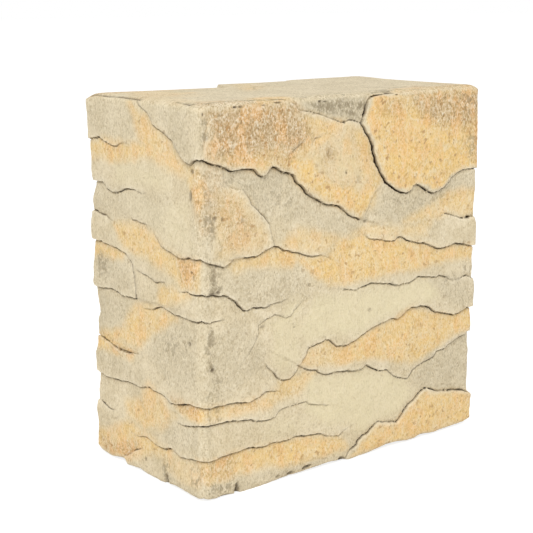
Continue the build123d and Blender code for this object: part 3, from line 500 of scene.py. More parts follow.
# Two upright corners are broken back by a little more or less than the leaves
# beside them: heights above the bed and how far, at the back left and the right.
left_heights = [
    0, 4, 11, 20, 27, 38, 48, 58, 66, 76, 87, 96, 106, 116, 122, 127, 134, 141, 148, 156, 168, 182,
    195, 203, 215, 229, 236, 250, 262, 304,
]
left_broken = [
    1.2, 1.6, 1.9, 2.5, 2.4, 1.1, 1.6, 1.6, 1, 0.6, 0.4, 1.8, 2, 2, 3, 2.8, 1.4, 0.7, -0.2, 0.2,
    0.5, 1.1, 1, 1.6, 1, 2.1, 1.2, 1, 0.5, 0.2,
]
right_heights = [
    0, 23, 30, 38, 52, 66, 88, 109, 124, 131, 140, 152, 160, 167, 176, 182, 189, 196, 203, 210,
    217, 232, 240, 252, 304,
]
right_broken = [
    0, 0.2, -0.8, 0.2, 0, 0.4, -0.2, -0.7, -0.7, -0.8, -0.2, -0.2, -0.8, -0.9, -0.5, -0.5, 0.6, 1,
    0.9, 0.6, -0.4, -0.8, -0.5, 0.3, 0.3,
]
break_width = 16
for corner, heights, broken in (
    (back_left_corner, left_heights, left_broken), (right_corner, right_heights, right_broken),
):
    away = np.abs(tape - corner)
    sunk += np.interp(up, heights, broken) * np.exp(-(away / break_width)**2) * (inset < rim_width)
sunk = np.maximum(sunk, least_sunk)

# The floated top dips towards its rim, where it is worn, and the bed edge is ragged:
# places on the tape, and how far the rim has gone down or the bed edge up there.
rim_places = [
    0, 20, 60, 120, 170, 230, 284, 300, 312, 345, 380, 412, 432, 446, 458, 540, 546, 549, 572, 592,
    604, 616, 622, 660, 700, 728, 740, 750, 758, 775, 810, 850, 890, 916,
]
rim_wear = [
    1.8, 1, 0.7, 0.6, 0.9, 0.6, 0.4, 1.6, 0.3, 1.6, 1.7, 1.2, 0.2, 0, 0, 0, 0.4, 2.4, 2.2, 0.8,
    0.3, 0, 0, 0.6, 0.8, 0, 0, 1.6, 3.4, 1, 0.8, 1.2, 1, 1.8,
]
bed_places = [
    0, 5, 15, 31, 45, 57, 68, 80, 100, 118, 130, 146, 151, 174, 190, 196, 207, 218, 229, 237, 250,
    274, 290, 300, 312, 330, 348, 370, 396, 420, 446, 458, 480, 505, 540, 566, 590, 622, 660, 690,
    722, 745, 758, 764, 766, 777, 786, 794, 802, 805.6, 808.3, 827, 837, 856, 864, 870, 876, 899,
    910, 916,
]
bed_lift = [
    3, 2.1, 1, 0.5, 0, 0, 0.4, 1.5, 2.1, 2.7, 3.2, 1.5, 0.4, 1.5, 3.2, 4, 3.8, 1.8, 2.1, 3.8, 1.8,
    2.7, 3.2, 5, 2.2, 1.2, 2.8, 0.6, 1.8, 3, 1.4, 3.4, 1.2, 2.4, 0.8, 2.8, 1.2, 2.2, 0.6, 2.4, 1.4,
    2.2, 5, 3.4, 2.7, 1.9, 1.9, 3.8, 5, 4.3, 1, 2.7, 1, 0.4, 1, 2.3, 2.9, 2.3, 2.1, 3,
]
wear = np.interp(tape, rim_places, rim_wear)
lift = np.interp(tape, bed_places, bed_lift) + 0.5 * share(hills(5, 33.3))

top_reach, bed_reach, lip_reach = 14, 9, 5.5
from_top = share(1 - (height - up) / top_reach)**2
from_bed = share(1 - up / bed_reach)
near_rim = share(1 - inset / rim_width)
lip_slope = np.interp(tape, [300, 312, 445, 560, 722, 790], [1.5, 0.6, 0.2, 0.2, 0.5, 1.5])
lip_slope *= share(1 - inset / lip_reach)

# The arris at the top is rounded by wear, and the bed edge is nipped in.
arris_wear, arris_reach, bed_nip, nip_reach = 1.0, 1.1, 1.1, 1.6
sunk += arris_wear * np.exp(-(height - up) / arris_reach) + bed_nip * np.exp(-up / nip_reach)

# Creases and scratches in the floated top, most of them a little inside its rim: how
# plain each is, and its line in mm from the near corner, to the right and to the back.
creases = [
    (1, [(2.5, 150), (2, 122), (3, 104), (2.2, 78)]),
    (1, [(5, 33), (3, 14), (11, 6), (36, 10), (58, 5), (84, 3)]), (1, [(99, 8), (107, 4)]),
    (0.35, [(122, 88), (131, 100), (140, 113)]), (0.9, [(142, 17), (146, 3)]),
    (0.5, [(176, 3), (205, 7), (229, 4)]), (0.6, [(217, 22), (231, 27), (244, 22)]),
    (0.8, [(240, 15), (258, 6)]), (0.7, [(262, 7), (290, 8)]),
]
crease_depth, crease_shade_and_dirt = 0.8, 0.75
from_left, from_front = across + length / 2, back + depth / 2
floated = 0.14 * hills(38, 71.7) + 0.08 * hills(11, 77.1)
crease_dark = np.zeros(len(place))
for plain, line in creases:
    gap = beside(line, from_left[top_side], from_front[top_side])[0]
    groove = plain * np.exp(-gap**2) * share(1.2 * gaping[top_side])
    floated[top_side] += crease_depth * groove
    # The creases are painted dark, for the shade and dirt in them.
    crease_dark[top_side] = np.maximum(crease_dark[top_side], crease_shade_and_dirt * groove)
recess_shade_and_dirt = np.maximum(recess_shade_and_dirt, crease_dark)

# A thin flake is gone from the back of the top, left of a step at its middle: its
# floor falls to the back, and a little to the step.
flake_step = np.interp(
    from_front, [116, 128, 138, 147, 154, 158], [116, 124, 126, 131, 134, 134.3]
)
flake_floor = 1.8 + 0.015 * (from_left - 125.3) + 0.0525 * (from_front - 140)
flaked = np.clip(flake_floor, 0, 4) * share((flake_step - from_left) / 1.2 + 0.5)
flaked *= from_front > 112

# The points take their new places: along the sides to the lips of the splits, and
# inwards by the relief, with the upright corners rounded.
corners = (0, right_corner, back_right_corner, back_left_corner)
moved_s[np.minimum.reduce([np.abs(tape_from(corner)) for corner in corners]) < 2] = 0
shift = np.clip(moved_s, -farthest_move, farthest_move) * on_side
across = across + np.choose(nearest, [shift, 0 * shift, -shift, 0 * shift])
back = back + np.choose(nearest, [0 * shift, shift, 0 * shift, -shift])
up = up + (
    np.clip(moved_z, -farthest_move, farthest_move) * on_side * (up > 1) * (up < height - 1)
)

# Within the rim's width each level of the block is made of rings round a flat core.
# They get the corners' radius, the near corner's the largest, and shrink by the relief.
flat_x, flat_y = length / 2 - rim_width, depth / 2 - rim_width
near_round, right_round, back_right_round, back_left_round = 8.5, 3, 4, 3
radius = np.select(
    [(across < 0) & (back < 0), (across > 0) & (back < 0), (across > 0) & (back > 0)],
    [near_round, right_round, back_right_round], back_left_round,
)
ring = np.maximum(np.abs(across) - flat_x, np.abs(back) - flat_y)
skin = ring > touching
out_x = np.clip(np.abs(across) - flat_x, 0, None)
out_y = np.clip(np.abs(back) - flat_y, 0, None)
bend = np.minimum(radius, np.maximum(ring, touching))
core_x = np.maximum(np.minimum(out_x, ring - bend), 0)
core_y = np.maximum(np.minimum(out_y, ring - bend), 0)
arm_x, arm_y = out_x - core_x, out_y - core_y
arm = np.maximum(np.hypot(arm_x, arm_y), 1e-6)
shrink = share(1 - sunk * near_rim / np.maximum(ring, touching))
round_x = (core_x + arm_x / arm * bend) * shrink
round_y = (core_y + arm_y / arm * bend) * shrink
reach_x = np.where(out_x > 0, flat_x + round_x, np.abs(across))
reach_y = np.where(out_y > 0, flat_y + round_y, np.abs(back))
across = np.where(skin, np.sign(across) * reach_x, across)
back = np.where(skin, np.sign(back) * reach_y, back)

rim_curve, bed_curve = 1.6, 1.5
drop = (wear + lip_slope) * np.where(top_side, near_rim**rim_curve, from_top)
drop += flaked * np.where(top_side, 1, from_top)
up = up - drop - np.where(top_side, least_sunk + share(floated), 0)
rise = lift * np.where(bed_side, near_rim**bed_curve, from_bed)
up = np.clip(up + rise, 0, height)

moved = np.stack([across, back, up], axis=1) * mm
block.data.vertices.foreach_set("co", moved.ravel())
block.data.update()


# The washes of dye and cement that the face was given: ochre and brown, a cream and
# a grey, and grime with painted shade in its hollows. Each is a patch with a soft border: how
# soft in mm, how strong, and its outline on the tape. The top is laid out above the
# front, from 304 up.
washes = {"ochre": [
    # The big upper left leaf and the upper right one.
    (3, 0.27, [(8, 262), (31, 255), (53, 254), (61, 249), (70, 255), (88, 249), (102, 236),
     (118, 225), (138, 218), (160, 204), (170, 208), (186, 231), (178, 251), (172, 266),
     (164, 278), (150, 281), (140, 280), (120, 287), (104, 291), (92, 299), (60, 301), (10, 300)]),
    (5, 0.75, [(20, 260), (52, 254), (61, 249), (70, 255), (88, 249), (104, 234), (120, 223),
     (138, 218), (160, 204), (176, 214), (182, 232), (164, 226), (144, 230), (126, 238),
     (108, 254), (78, 266), (30, 270)]),
    (5, 0.5, [(152, 274), (165, 277), (176, 258), (187, 232), (174, 214), (162, 222), (164, 246)]),
    (6, 0.6, [(92, 268), (104, 290), (120, 286), (146, 279), (126, 268), (112, 260)]),
    (5, 0.45, [(138, 272), (153, 270), (153, 254), (139, 254)]),
    (5, 0.55, [(84, 256), (88, 290), (114, 288), (118, 272), (98, 254)]),
    (2, 0.78, [(176, 302), (169, 290), (167, 281), (177, 262), (182, 246), (191, 232), (205, 223),
     (216, 221), (224, 227), (234, 223), (245, 218), (257, 220), (266, 228), (280, 233),
     (300, 234), (312, 240), (312, 296), (300, 301)]),
    # The bands across the front.
    (5, 0.68, [(92, 180), (110, 178), (125, 177), (140, 188), (170, 188), (200, 181), (226, 176),
     (256, 166), (290, 165), (302, 164), (306, 152), (280, 155), (250, 153), (200, 153),
     (160, 151), (128, 153), (108, 166)]),
    (6, 0.44, [(150, 190), (172, 197), (200, 191), (222, 190), (246, 196), (240, 180),
     (200, 183)]),
    (6, 0.6, [(212, 194), (240, 204), (262, 213), (302, 214), (306, 190), (262, 196), (248, 194)]),
    (6, 0.44, [(80, 192), (98, 202), (118, 196), (140, 190), (124, 180), (98, 184)]),
    (4, 0.66, [(122, 92), (148, 99), (172, 107), (200, 113), (222, 119), (250, 110), (275, 104),
     (304, 108), (306, 90), (272, 86), (240, 74), (222, 70), (196, 78), (172, 84), (140, 85)]),
    (4, 0.44, [(96, 92), (108, 104), (130, 106), (142, 99), (136, 84), (112, 88)]),
    (4, 0.66, [(152, 2), (168, 15), (180, 23), (206, 19), (222, 32), (240, 42), (262, 36),
     (304, 28), (306, 1), (240, 1)]),
    (5, 0.68, [(906, 32), (936, 33), (962, 34), (998, 32), (1032, 28), (1056, 22), (1064, 12),
     (1030, 9), (990, 13), (950, 15), (920, 14)]),
    (4, 0.7, [(876, 70), (890, 75), (914, 76), (919, 75), (919, 63), (912, 63), (886, 66)]),
    (5, 0.46, [(917, 76), (946, 74), (980, 75), (1004, 84), (1030, 82), (1014, 70), (984, 64),
     (940, 63), (917, 63)]),
    (5, 0.56, [(944, 184), (968, 187), (988, 191), (1002, 188), (1014, 181), (1004, 174),
     (976, 178), (950, 177)]),
    (7, 0.36, [(932, 240), (956, 236), (974, 214), (984, 196), (960, 190), (932, 190)]),
    (4, 0.42, [(896, 258), (906, 259), (918, 252), (924, 236), (916, 224), (908, 236),
     (900, 246)]),
    # The left end, from its back edge to the near corner.
    (6, 0.6, [(758, 266), (790, 268), (830, 268), (850, 270), (862, 262), (830, 256), (790, 252),
     (758, 254)]),
    (6, 0.5, [(824, 302), (836, 296), (852, 285), (872, 277), (892, 260), (898, 252), (880, 250),
     (856, 258), (840, 268), (830, 288)]),
    (6, 0.58, [(800, 202), (830, 205), (856, 200), (872, 190), (890, 187), (914, 188), (914, 166),
     (890, 165), (872, 176), (846, 182), (812, 184)]),
    (5, 0.62, [(756, 182), (790, 183), (812, 181), (806, 174), (780, 172), (756, 168)]),
    (6, 0.62, [(824, 140), (850, 142), (864, 145), (882, 152), (902, 161), (880, 162), (862, 160),
     (862, 144), (846, 132), (834, 118), (818, 106), (790, 106), (806, 116)]),
    (5, 0.6, [(836, 139), (822, 131), (812, 121), (797, 113), (769, 107), (769, 103), (804, 104),
     (832, 105), (847, 121), (865, 128), (883, 139), (874, 142)]),
    (4, 0.68, [(756, 106), (790, 104), (826, 100), (818, 94), (798, 93), (776, 92), (756, 94)]),
    (6, 0.48, [(842, 78), (862, 70), (868, 62), (880, 60), (862, 48), (836, 40), (810, 44),
     (806, 56), (830, 60)]),
    (6, 0.58, [(808, 40), (840, 34), (872, 30), (872, 22), (846, 22), (826, 12), (800, 4),
     (758, 4), (760, 20), (790, 26)]),
    (5, 0.3, [(866, 28), (900, 30), (914, 28), (912, 12), (880, 8), (862, 16)]),
    # The right end and the back, which carry the same bands.
    (7, 0.56, [(300, 110), (340, 106), (372, 112), (420, 108), (420, 92), (372, 94), (330, 86),
     (300, 90)]),
    (7, 0.52, [(300, 30), (346, 36), (380, 32), (430, 28), (458, 30), (500, 30), (500, 8),
     (400, 4), (300, 4)]),
    (7, 0.48, [(300, 164), (346, 161), (390, 165), (440, 158), (430, 148), (360, 150),
     (300, 152)]),
    (7, 0.52, [(360, 266), (400, 264), (452, 266), (500, 262), (560, 266), (540, 250), (470, 248),
     (400, 250)]),
    (7, 0.48, [(300, 296), (340, 300), (360, 290), (350, 262), (330, 248), (300, 240)]),
    (7, 0.56, [(470, 200), (520, 198), (580, 202), (640, 204), (620, 190), (560, 184),
     (500, 186)]),
    (7, 0.52, [(596, 148), (640, 143), (700, 147), (758, 145), (758, 128), (700, 126),
     (640, 128)]),
    (7, 0.48, [(470, 140), (520, 138), (590, 140), (560, 126), (500, 124)]),
    (7, 0.56, [(590, 82), (650, 78), (720, 74), (758, 72), (758, 60), (700, 58), (630, 62)]),
    (7, 0.52, [(458, 60), (520, 60), (600, 62), (640, 40), (600, 28), (520, 24), (458, 26)]),
    (7, 0.48, [(650, 40), (700, 40), (758, 46), (758, 6), (700, 4), (650, 8)]),
    (7, 0.52, [(640, 262), (700, 264), (758, 266), (758, 252), (700, 248), (650, 250)]),
    (7, 0.4, [(560, 300), (640, 302), (660, 286), (600, 280), (560, 284)]),
    # The rim of the top.
    (5, 0.48, [(56, 303), (62, 322), (76, 326), (92, 318), (90, 303)]),
    (6, 0.32, [(196, 303), (204, 316), (236, 322), (262, 314), (298, 316), (298, 303)]),
    (9, 0.24, [(12, 400), (24, 436), (52, 434), (60, 410), (40, 396)]),
    (9, 0.2, [(2, 330), (4, 400), (16, 400), (20, 350), (16, 318)]),
    (7, 0.24, [(104, 380), (120, 410), (140, 440), (152, 458), (160, 440), (136, 396)]),
    (6, 0.3, [(4, 430), (60, 434), (100, 440), (100, 458), (4, 458)]),
    (8, 0.25, [(10, 366), (50, 380), (70, 400), (40, 410), (14, 396)]),
], "brown": [
    (11, 0.95, [(10, 299), (12, 268), (34, 260), (52, 262), (72, 268), (92, 262), (106, 274),
     (100, 289), (90, 299), (50, 301)]),
    (9, 0.5, [(30, 262), (60, 258), (84, 252), (96, 262), (70, 268)]),
    (9, 0.74, [(212, 302), (226, 284), (248, 274), (284, 268), (304, 276), (310, 300)]),
    (5, 0.35, [(276, 300), (284, 270), (290, 238), (306, 236), (310, 298)]),
    (7, 0.4, [(182, 300), (186, 284), (204, 284), (214, 300)]),
    (4, 0.6, [(782, 98), (800, 100), (826, 100), (812, 94), (794, 94)]),
    (5, 0.5, [(872, 76), (892, 77), (914, 75), (900, 68), (880, 68)]),
    (5, 0.5, [(884, 186), (912, 186), (912, 170), (890, 170)]),
    (6, 0.5, [(766, 14), (800, 16), (824, 24), (812, 8), (780, 4)]),
    (6, 0.42, [(910, 30), (950, 32), (948, 16), (914, 18)]),
    (7, 0.35, [(226, 306), (232, 330), (250, 332), (256, 318), (292, 316), (292, 304)]),
    (5, 0.35, [(4, 303), (8, 316), (34, 318), (56, 312), (56, 303)]),
    (4, 0.5, [(122, 262), (128, 266), (134, 260), (130, 252), (124, 253)]),
    (3, 0.5, [(83, 259), (95, 267), (105, 273), (104, 270), (94, 263), (85, 257)]),
    (6, 0.36, [(906, 256), (938, 256), (944, 236), (938, 212), (918, 208), (907, 230)]),
    (8, 0.35, [(938, 240), (950, 236), (972, 210), (960, 196), (940, 198)]),
    (5, 0.34, [(-2, 436), (40, 440), (100, 446), (104, 464), (-2, 464)]),
], "grey": [
    (5, 0.5, [(908, 300), (926, 300), (926, 4), (908, 4)]),
    # The whole of the top.
    (4, 0.35, [(-2, 304), (302, 304), (302, 464), (-2, 464)]),
    (14, 0.4, [(120, 316), (290, 330), (290, 456), (140, 456), (126, 400)]),
    # The sides.
    (3, 0.9, [(98, 300), (106, 293), (120, 290), (140, 283), (150, 284), (162, 280), (167, 292),
     (171, 303), (130, 304)]),
    (4, 0.75, [(22, 252), (40, 253), (58, 247), (70, 252), (84, 247), (76, 226), (66, 210),
     (54, 222), (44, 236), (30, 240)]),
    (8, 0.45, [(84, 244), (104, 230), (126, 217), (150, 205), (176, 214), (186, 228), (160, 192),
     (110, 196), (78, 214)]),
    (6, 0.6, [(190, 228), (210, 219), (240, 217), (268, 228), (298, 231), (296, 216), (240, 203),
     (206, 196), (176, 200)]),
    (5, 0.58, [(222, 58), (240, 70), (254, 75), (280, 83), (302, 86), (304, 30), (280, 36),
     (258, 40), (240, 45)]),
    (6, 0.55, [(240, 144), (262, 141), (286, 137), (300, 134), (304, 112), (282, 110),
     (262, 122)]),
    (7, 0.5, [(928, 160), (946, 152), (958, 146), (990, 146), (1020, 150), (1016, 170), (976, 176),
     (940, 178), (926, 176)]),
    (8, 0.5, [(922, 138), (960, 134), (976, 118), (980, 92), (940, 82), (922, 84)]),
    (8, 0.35, [(756, 300), (800, 302), (822, 300), (846, 276), (800, 270), (760, 270)]),
    (8, 0.45, [(852, 300), (904, 302), (904, 266), (892, 264), (868, 282)]),
    (8, 0.45, [(762, 232), (800, 230), (850, 232), (880, 232), (870, 208), (810, 208),
     (762, 210)]),
    (7, 0.55, [(762, 170), (800, 174), (820, 168), (824, 148), (764, 148)]),
    (8, 0.5, [(762, 142), (806, 142), (820, 134), (800, 112), (762, 108)]),
    (8, 0.5, [(850, 134), (880, 140), (912, 138), (912, 86), (870, 82), (844, 104)]),
    (8, 0.4, [(762, 90), (800, 90), (836, 84), (836, 76), (762, 74)]),
    (6, 0.55, [(862, 58), (884, 56), (912, 60), (912, 40), (880, 36), (862, 38)]),
    (5, 0.5, [(862, 8), (900, 10), (930, 14), (1000, 12), (1040, 8), (1040, 1), (862, 1)]),
    (9, 0.5, [(320, 290), (400, 300), (456, 290), (440, 272), (380, 270), (340, 274)]),
    (9, 0.5, [(320, 226), (380, 230), (440, 236), (440, 206), (380, 206), (320, 200)]),
    (9, 0.5, [(312, 80), (380, 84), (440, 90), (440, 66), (380, 60), (312, 44)]),
    (9, 0.5, [(480, 240), (560, 240), (640, 232), (700, 230), (740, 228), (740, 212), (640, 212),
     (560, 220), (480, 216)]),
    (9, 0.5, [(480, 104), (560, 104), (640, 110), (740, 98), (740, 88), (640, 90), (560, 88),
     (480, 88)]),
    (9, 0.5, [(620, 180), (700, 184), (750, 182), (750, 152), (690, 152), (620, 156)]),
], "cream": [
    (7, 0.9, [(112, 146), (150, 143), (176, 145), (206, 139), (228, 143), (250, 139), (256, 122),
     (232, 122), (200, 116), (160, 106), (130, 112), (106, 108), (98, 120)]),
    (7, 0.85, [(104, 80), (150, 74), (174, 73), (196, 66), (218, 54), (226, 44), (208, 28),
     (186, 28), (166, 22), (150, 32), (128, 34), (106, 50), (104, 62)]),
    (7, 0.6, [(88, 146), (100, 146), (100, 120), (96, 98), (82, 90), (70, 100), (70, 130)]),
    (8, 0.6, [(132, 256), (150, 258), (168, 252), (166, 242), (140, 240)]),
    (7, 0.5, [(94, 250), (108, 262), (118, 256), (110, 240), (100, 238)]),
    (8, 0.5, [(800, 252), (850, 252), (880, 246), (880, 236), (840, 236), (800, 234)]),
    (8, 0.5, [(806, 226), (850, 226), (900, 230), (906, 196), (880, 196), (860, 208), (830, 212)]),
    (8, 0.4, [(980, 52), (1030, 48), (1060, 40), (1030, 38), (980, 40)]),
], "grime_and_shade": [
    # Grime and painted shade in the hollows along the near corner, in the sunk leaves and at
    # the bed edge.
    (6, 0.9, [(929, 186), (935, 186), (937, 170), (936, 160), (926, 160), (925, 172)]),
    (4, 0.8, [(922, 138), (930, 137), (931, 118), (930, 100), (924, 100), (921, 118)]),
    (5, 0.7, [(919, 222), (929, 224), (935, 214), (931, 206), (921, 204)]),
    (5, 0.5, [(920, 256), (930, 254), (930, 226), (920, 228)]),
    (6, 0.5, [(930, 204), (940, 204), (940, 192), (930, 192)]),
    (5, 0.45, [(926, 250), (946, 250), (960, 246), (972, 250), (968, 238), (950, 240),
     (936, 240)]),
    (5, 0.75, [(928, 300), (938, 300), (940, 295), (928, 293)]),
    (3, 0.7, [(920, 296), (926, 294), (924, 276), (920, 268), (918, 280)]),
    (6, 0.7, [(916, 12), (930, 16), (950, 14), (948, 2), (916, 2)]),
    (6, 0.3, [(956, 8), (990, 10), (1020, 12), (1050, 10), (1050, 1), (956, 1)]),
    (5, 0.6, [(896, 26), (914, 24), (914, 4), (896, 8)]),
    (5, 0.6, [(858, 20), (872, 20), (872, 2), (858, 2)]),
    (8, 0.5, [(862, 126), (884, 130), (904, 128), (902, 112), (880, 106), (858, 106)]),
    (6, 0.6, [(764, 178), (790, 174), (792, 156), (768, 154)]),
    (7, 0.12, [(764, 296), (796, 296), (812, 282), (806, 272), (768, 274)]),
    (5, 0.6, [(282, 150), (300, 148), (302, 134), (284, 136)]),
    (7, 0.5, [(252, 144), (280, 142), (280, 130), (258, 130)]),
    (6, 0.15, [(244, 64), (262, 74), (296, 84), (300, 60), (298, 40), (262, 46)]),
    (6, 0.5, [(920, 98), (936, 98), (937, 60), (920, 60)]),
    (6, 0.8, [(104, 300), (130, 302), (168, 300), (164, 284), (140, 286), (112, 292)]),
    (8, 0.4, [(60, 236), (84, 240), (100, 226), (90, 206), (74, 210)]),
    (7, 0.5, [(196, 222), (216, 216), (238, 212), (262, 216), (262, 206), (220, 202), (196, 208)]),
    (5, 0.6, [(272, 300), (298, 300), (298, 286), (284, 282)]),
    (6, 0.5, [(276, 262), (298, 266), (298, 238), (286, 240)]),
    (7, 0.6, [(330, 84), (380, 90), (400, 66), (360, 50), (330, 58)]),
    (8, 0.5, [(470, 100), (520, 104), (560, 96), (540, 84), (480, 86)]),
    (8, 0.5, [(600, 230), (660, 232), (720, 226), (700, 212), (620, 214)]),
    (8, 0.5, [(640, 138), (700, 142), (750, 136), (740, 108), (660, 112)]),
    (7, 0.5, [(380, 266), (430, 264), (440, 250), (390, 248)]),
]}

wash_s = np.where(top_side, place[:, 0] + length / 2, tape)
wash_z = np.where(top_side, height + place[:, 1] + depth / 2, place[:, 2])
bleeding_s = 3.5 * hills(16, 81.1) + 1.5 * hills(6, 84.5)
bleeding_z = 2 * hills(16, 87.9) + 1 * hills(6, 90.3)
wash_reach = 3


def washed(patches):
    """How strongly washes cover each point of the block's sides and top."""
    cover = np.zeros(len(place))
    for soft, strength, outline in patches:
        line = np.array(outline + outline[:1], float)
        for turn in (-girth, 0, girth):
            at_s, at_z = wash_s + turn + bleeding_s, wash_z + bleeding_z
            near = (at_s > line[:, 0].min() - soft) & (at_s < line[:, 0].max() + soft)
            near &= (at_z > line[:, 1].min() - soft) & (at_z < line[:, 1].max() + soft)
            near &= (inset < wash_reach) | top_side
            if not near.any():
                continue
            at_s, at_z = at_s[near], at_z[near]
            inside = np.zeros(at_s.shape, bool)
            for (s0, z0), (s1, z1) in zip(line[:-1], line[1:]):
                if z0 != z1:
                    crossing = s0 + (at_z - z0) * (s1 - s0) / (z1 - z0)
                    inside ^= ((z0 > at_z) != (z1 > at_z)) & (at_s < crossing)
            gap = np.abs(beside(line, at_s, at_z)[0])
            reach = share(0.5 + np.where(inside, gap, -gap) / (2 * soft))
            cover[near] = np.maximum(cover[near], strength * reach * reach * (3 - 2 * reach))
    return cover


def keep(name, values):
    """Stores a value for each point of the block, for its material to read."""
    layer = block.data.attributes.new(name, "FLOAT", "POINT")
    layer.data.foreach_set("value", values.astype(np.float32))


for name, patches in washes.items():
    keep(name, washed(patches))
keep("trowelled", top_side * 1.0)
keep("recess_shade_and_dirt", recess_shade_and_dirt)
keep("worn_and_lit_edge", worn_and_lit_edge)
keep("shade_under_edge", shade_under_edge)

# Where the skin is flat it needs fewer faces, and about a quarter of them are kept.
# Edges turned further than the angle named, such as the lips of splits, stay sharp.
faces_kept = 0.255
sharpest_smooth = 55
thin = block.modifiers.new("fewer faces where it is flat", "DECIMATE")
thin.ratio = faces_kept
bpy.ops.object.select_all(action="DESELECT")
block.select_set(True)
bpy.context.view_layer.objects.active = block
bpy.ops.object.modifier_apply(modifier=thin.name)
bpy.ops.object.shade_smooth_by_angle(angle=math.radians(sharpest_smooth))

# The skin is matt cement with its dye washed on, so one material covers the block
# and reads the washes, the painted shade and dirt, and the worn edges with their painted
# highlight from the values kept above.
concrete = bpy.data.materials.new("pale dyed concrete")
concrete.use_nodes = True
nodes = concrete.node_tree.nodes
links = concrete.node_tree.links
shader = nodes["Principled BSDF"]
shader.inputs["Roughness"].default_value = 0.92
shader.inputs["Specular IOR Level"].default_value = 0.2
spot = nodes.new("ShaderNodeTexCoord").outputs["Object"]


def dye(red, green, blue):
    """A colour as it is seen, 0 to 255, as the renderer wants it."""
    seen = [c / 255 for c in (red, green, blue)]
    return [c / 12.92 if c < 0.04045 else ((c + 0.055) / 1.055)**2.4 for c in seen] + [1]


def speckle(size_mm, detail, rough, at=spot):
    """Random specks of about the size named, from 0 to 1."""
    pattern = nodes.new("ShaderNodeTexNoise")
    pattern.inputs["Scale"].default_value = 1 / (size_mm * mm)
    pattern.inputs["Detail"].default_value = detail
    pattern.inputs["Roughness"].default_value = rough
    links.new(at, pattern.inputs["Vector"])
    return pattern.outputs["Fac"]


def sums(kind, first, second, held=False):
    """Works out a sum of two values, held between 0 and 1 if asked."""
    step = nodes.new("ShaderNodeMath")
    step.operation = kind
    step.use_clamp = held
    for socket, value in zip(step.inputs, (first, second)):
        if isinstance(value, (int, float)):
            socket.default_value = value
        else:
            links.new(value, socket)
    return step.outputs[0]


def plus(first, second, held=False):
    return sums("ADD", first, second, held)


def less(first, second):
    return sums("SUBTRACT", first, second)


def times(first, second, held=False):
    return sums("MULTIPLY", first, second, held)


def stored(name):
    """Reads back a value that was kept for each point."""
    layer = nodes.new("ShaderNodeAttribute")
    layer.attribute_name = name
    return layer.outputs["Fac"]


def spread(value, start, end, low=0, high=1):
    """Stretches the part of a value between start and end to low and high."""
    ramp = nodes.new("ShaderNodeMapRange")
    ramp.interpolation_type = "SMOOTHSTEP"
    for socket, number in zip(ramp.inputs[1:5], (start, end, low, high)):
        socket.default_value = number
    links.new(value, ramp.inputs[0])
    return ramp.outputs[0]


def wash_over(under, colour, cover, blend="MIX"):
    """Lays a colour over another where cover is 1."""
    mix = nodes.new("ShaderNodeMix")
    mix.data_type = "RGBA"
    mix.blend_type = blend
    links.new(cover, mix.inputs["Factor"])
    below, above = mix.inputs[6], mix.inputs[7]
    if isinstance(under, list):
        below.default_value = under
    else:
        links.new(under, below)
    above.default_value = colour
    return mix.outputs[2]


# The skin of the stone: low wandering ridges drawn out upright, round hollows and
# fine grit. The round hollows are only painted, as shade. The relief is what the ridges,
# wrinkles and grit add up to, brought to about 0 at its middle.
drawn_out = nodes.new("ShaderNodeVectorMath")
drawn_out.operation = "MULTIPLY"
links.new(spot, drawn_out.inputs[0])
drawn_out.inputs[1].default_value = (1, 1, 0.6)
upright = drawn_out.outputs[0]
cloud = speckle(26, 3, 0.6)
blotch = speckle(7, 3, 0.6)
ridges = spread(sums("ABSOLUTE", less(speckle(5, 3, 0.6, upright), 0.5), 0), 0, 0.1, 1, 0)
wrinkle = speckle(3, 2, 0.5, upright)
pocks = spread(speckle(4.5, 2, 0.5), 0.62, 0.74)
grit = speckle(1.25, 3, 0.7, upright)
mean_relief = 2.81
relief = plus(times(ridges, 0.25), times(wrinkle, 1))
relief = less(plus(relief, times(grit, 4.4)), mean_relief)

# The washes lie thick in the hollows and are rubbed off the ridges.
pale_buff, buff, cream, grey = [
    dye(*seen) for seen in ((227, 212, 180), (216, 200, 166), (226, 213, 177), (208, 195, 166))
]
ochre, brown, rust, bare_buff, thick_ochre = [dye(*seen) for seen in (
    (241, 205, 136), (208, 180, 138), (240, 190, 127), (238, 220, 184), (212, 168, 108),
)]
colour = wash_over(pale_buff, buff, spread(cloud, 0.38, 0.62))
patchy = plus(times(cloud, 0.8), times(blotch, 1.1))
patchy = less(less(patchy, 0.95), times(relief, 0.2))
for name, wash in (("cream", cream), ("grey", grey), ("ochre", ochre), ("brown", brown)):
    there = stored(name)
    cover = times(there, plus(times(patchy, 1.25), 1.05), True)
    colour = wash_over(colour, wash, cover)
dyed = plus(stored("ochre"), stored("brown"), True)
rusty = times(spread(speckle(12, 4, 0.65, upright), 0.46, 0.62), dyed)
colour = wash_over(colour, rust, times(rusty, 0.65))
worn_patches = speckle(6.5, 3, 0.65, upright)
bare = times(spread(worn_patches, 0.53, 0.68), stored("ochre"))
colour = wash_over(colour, bare_buff, times(bare, 0.7))
thick = times(spread(worn_patches, 0.47, 0.33), dyed)
colour = wash_over(colour, thick_ochre, times(thick, 0.55))

# How rough the skin is: most of all in the brown, least in the cream. Its ridges get a
# painted highlight and its hollows painted shade.
rough = times(stored("brown"), 0.75)
for name, more in (("ochre", 0.1), ("grey", 0.1), ("trowelled", 0.25), ("cream", -0.28)):
    rough = plus(rough, times(stored(name), more))
rough = plus(rough, 0.52)
painted_ridge_highlight, hollow_shade = dye(250, 240, 218), (0.5, 0.44, 0.34, 1)
lighter = times(times(relief, rough), 0.75, True)
darker = times(times(relief, rough), -0.95, True)
colour = wash_over(colour, painted_ridge_highlight, lighter)
colour = wash_over(colour, hollow_shade, darker, "MULTIPLY")

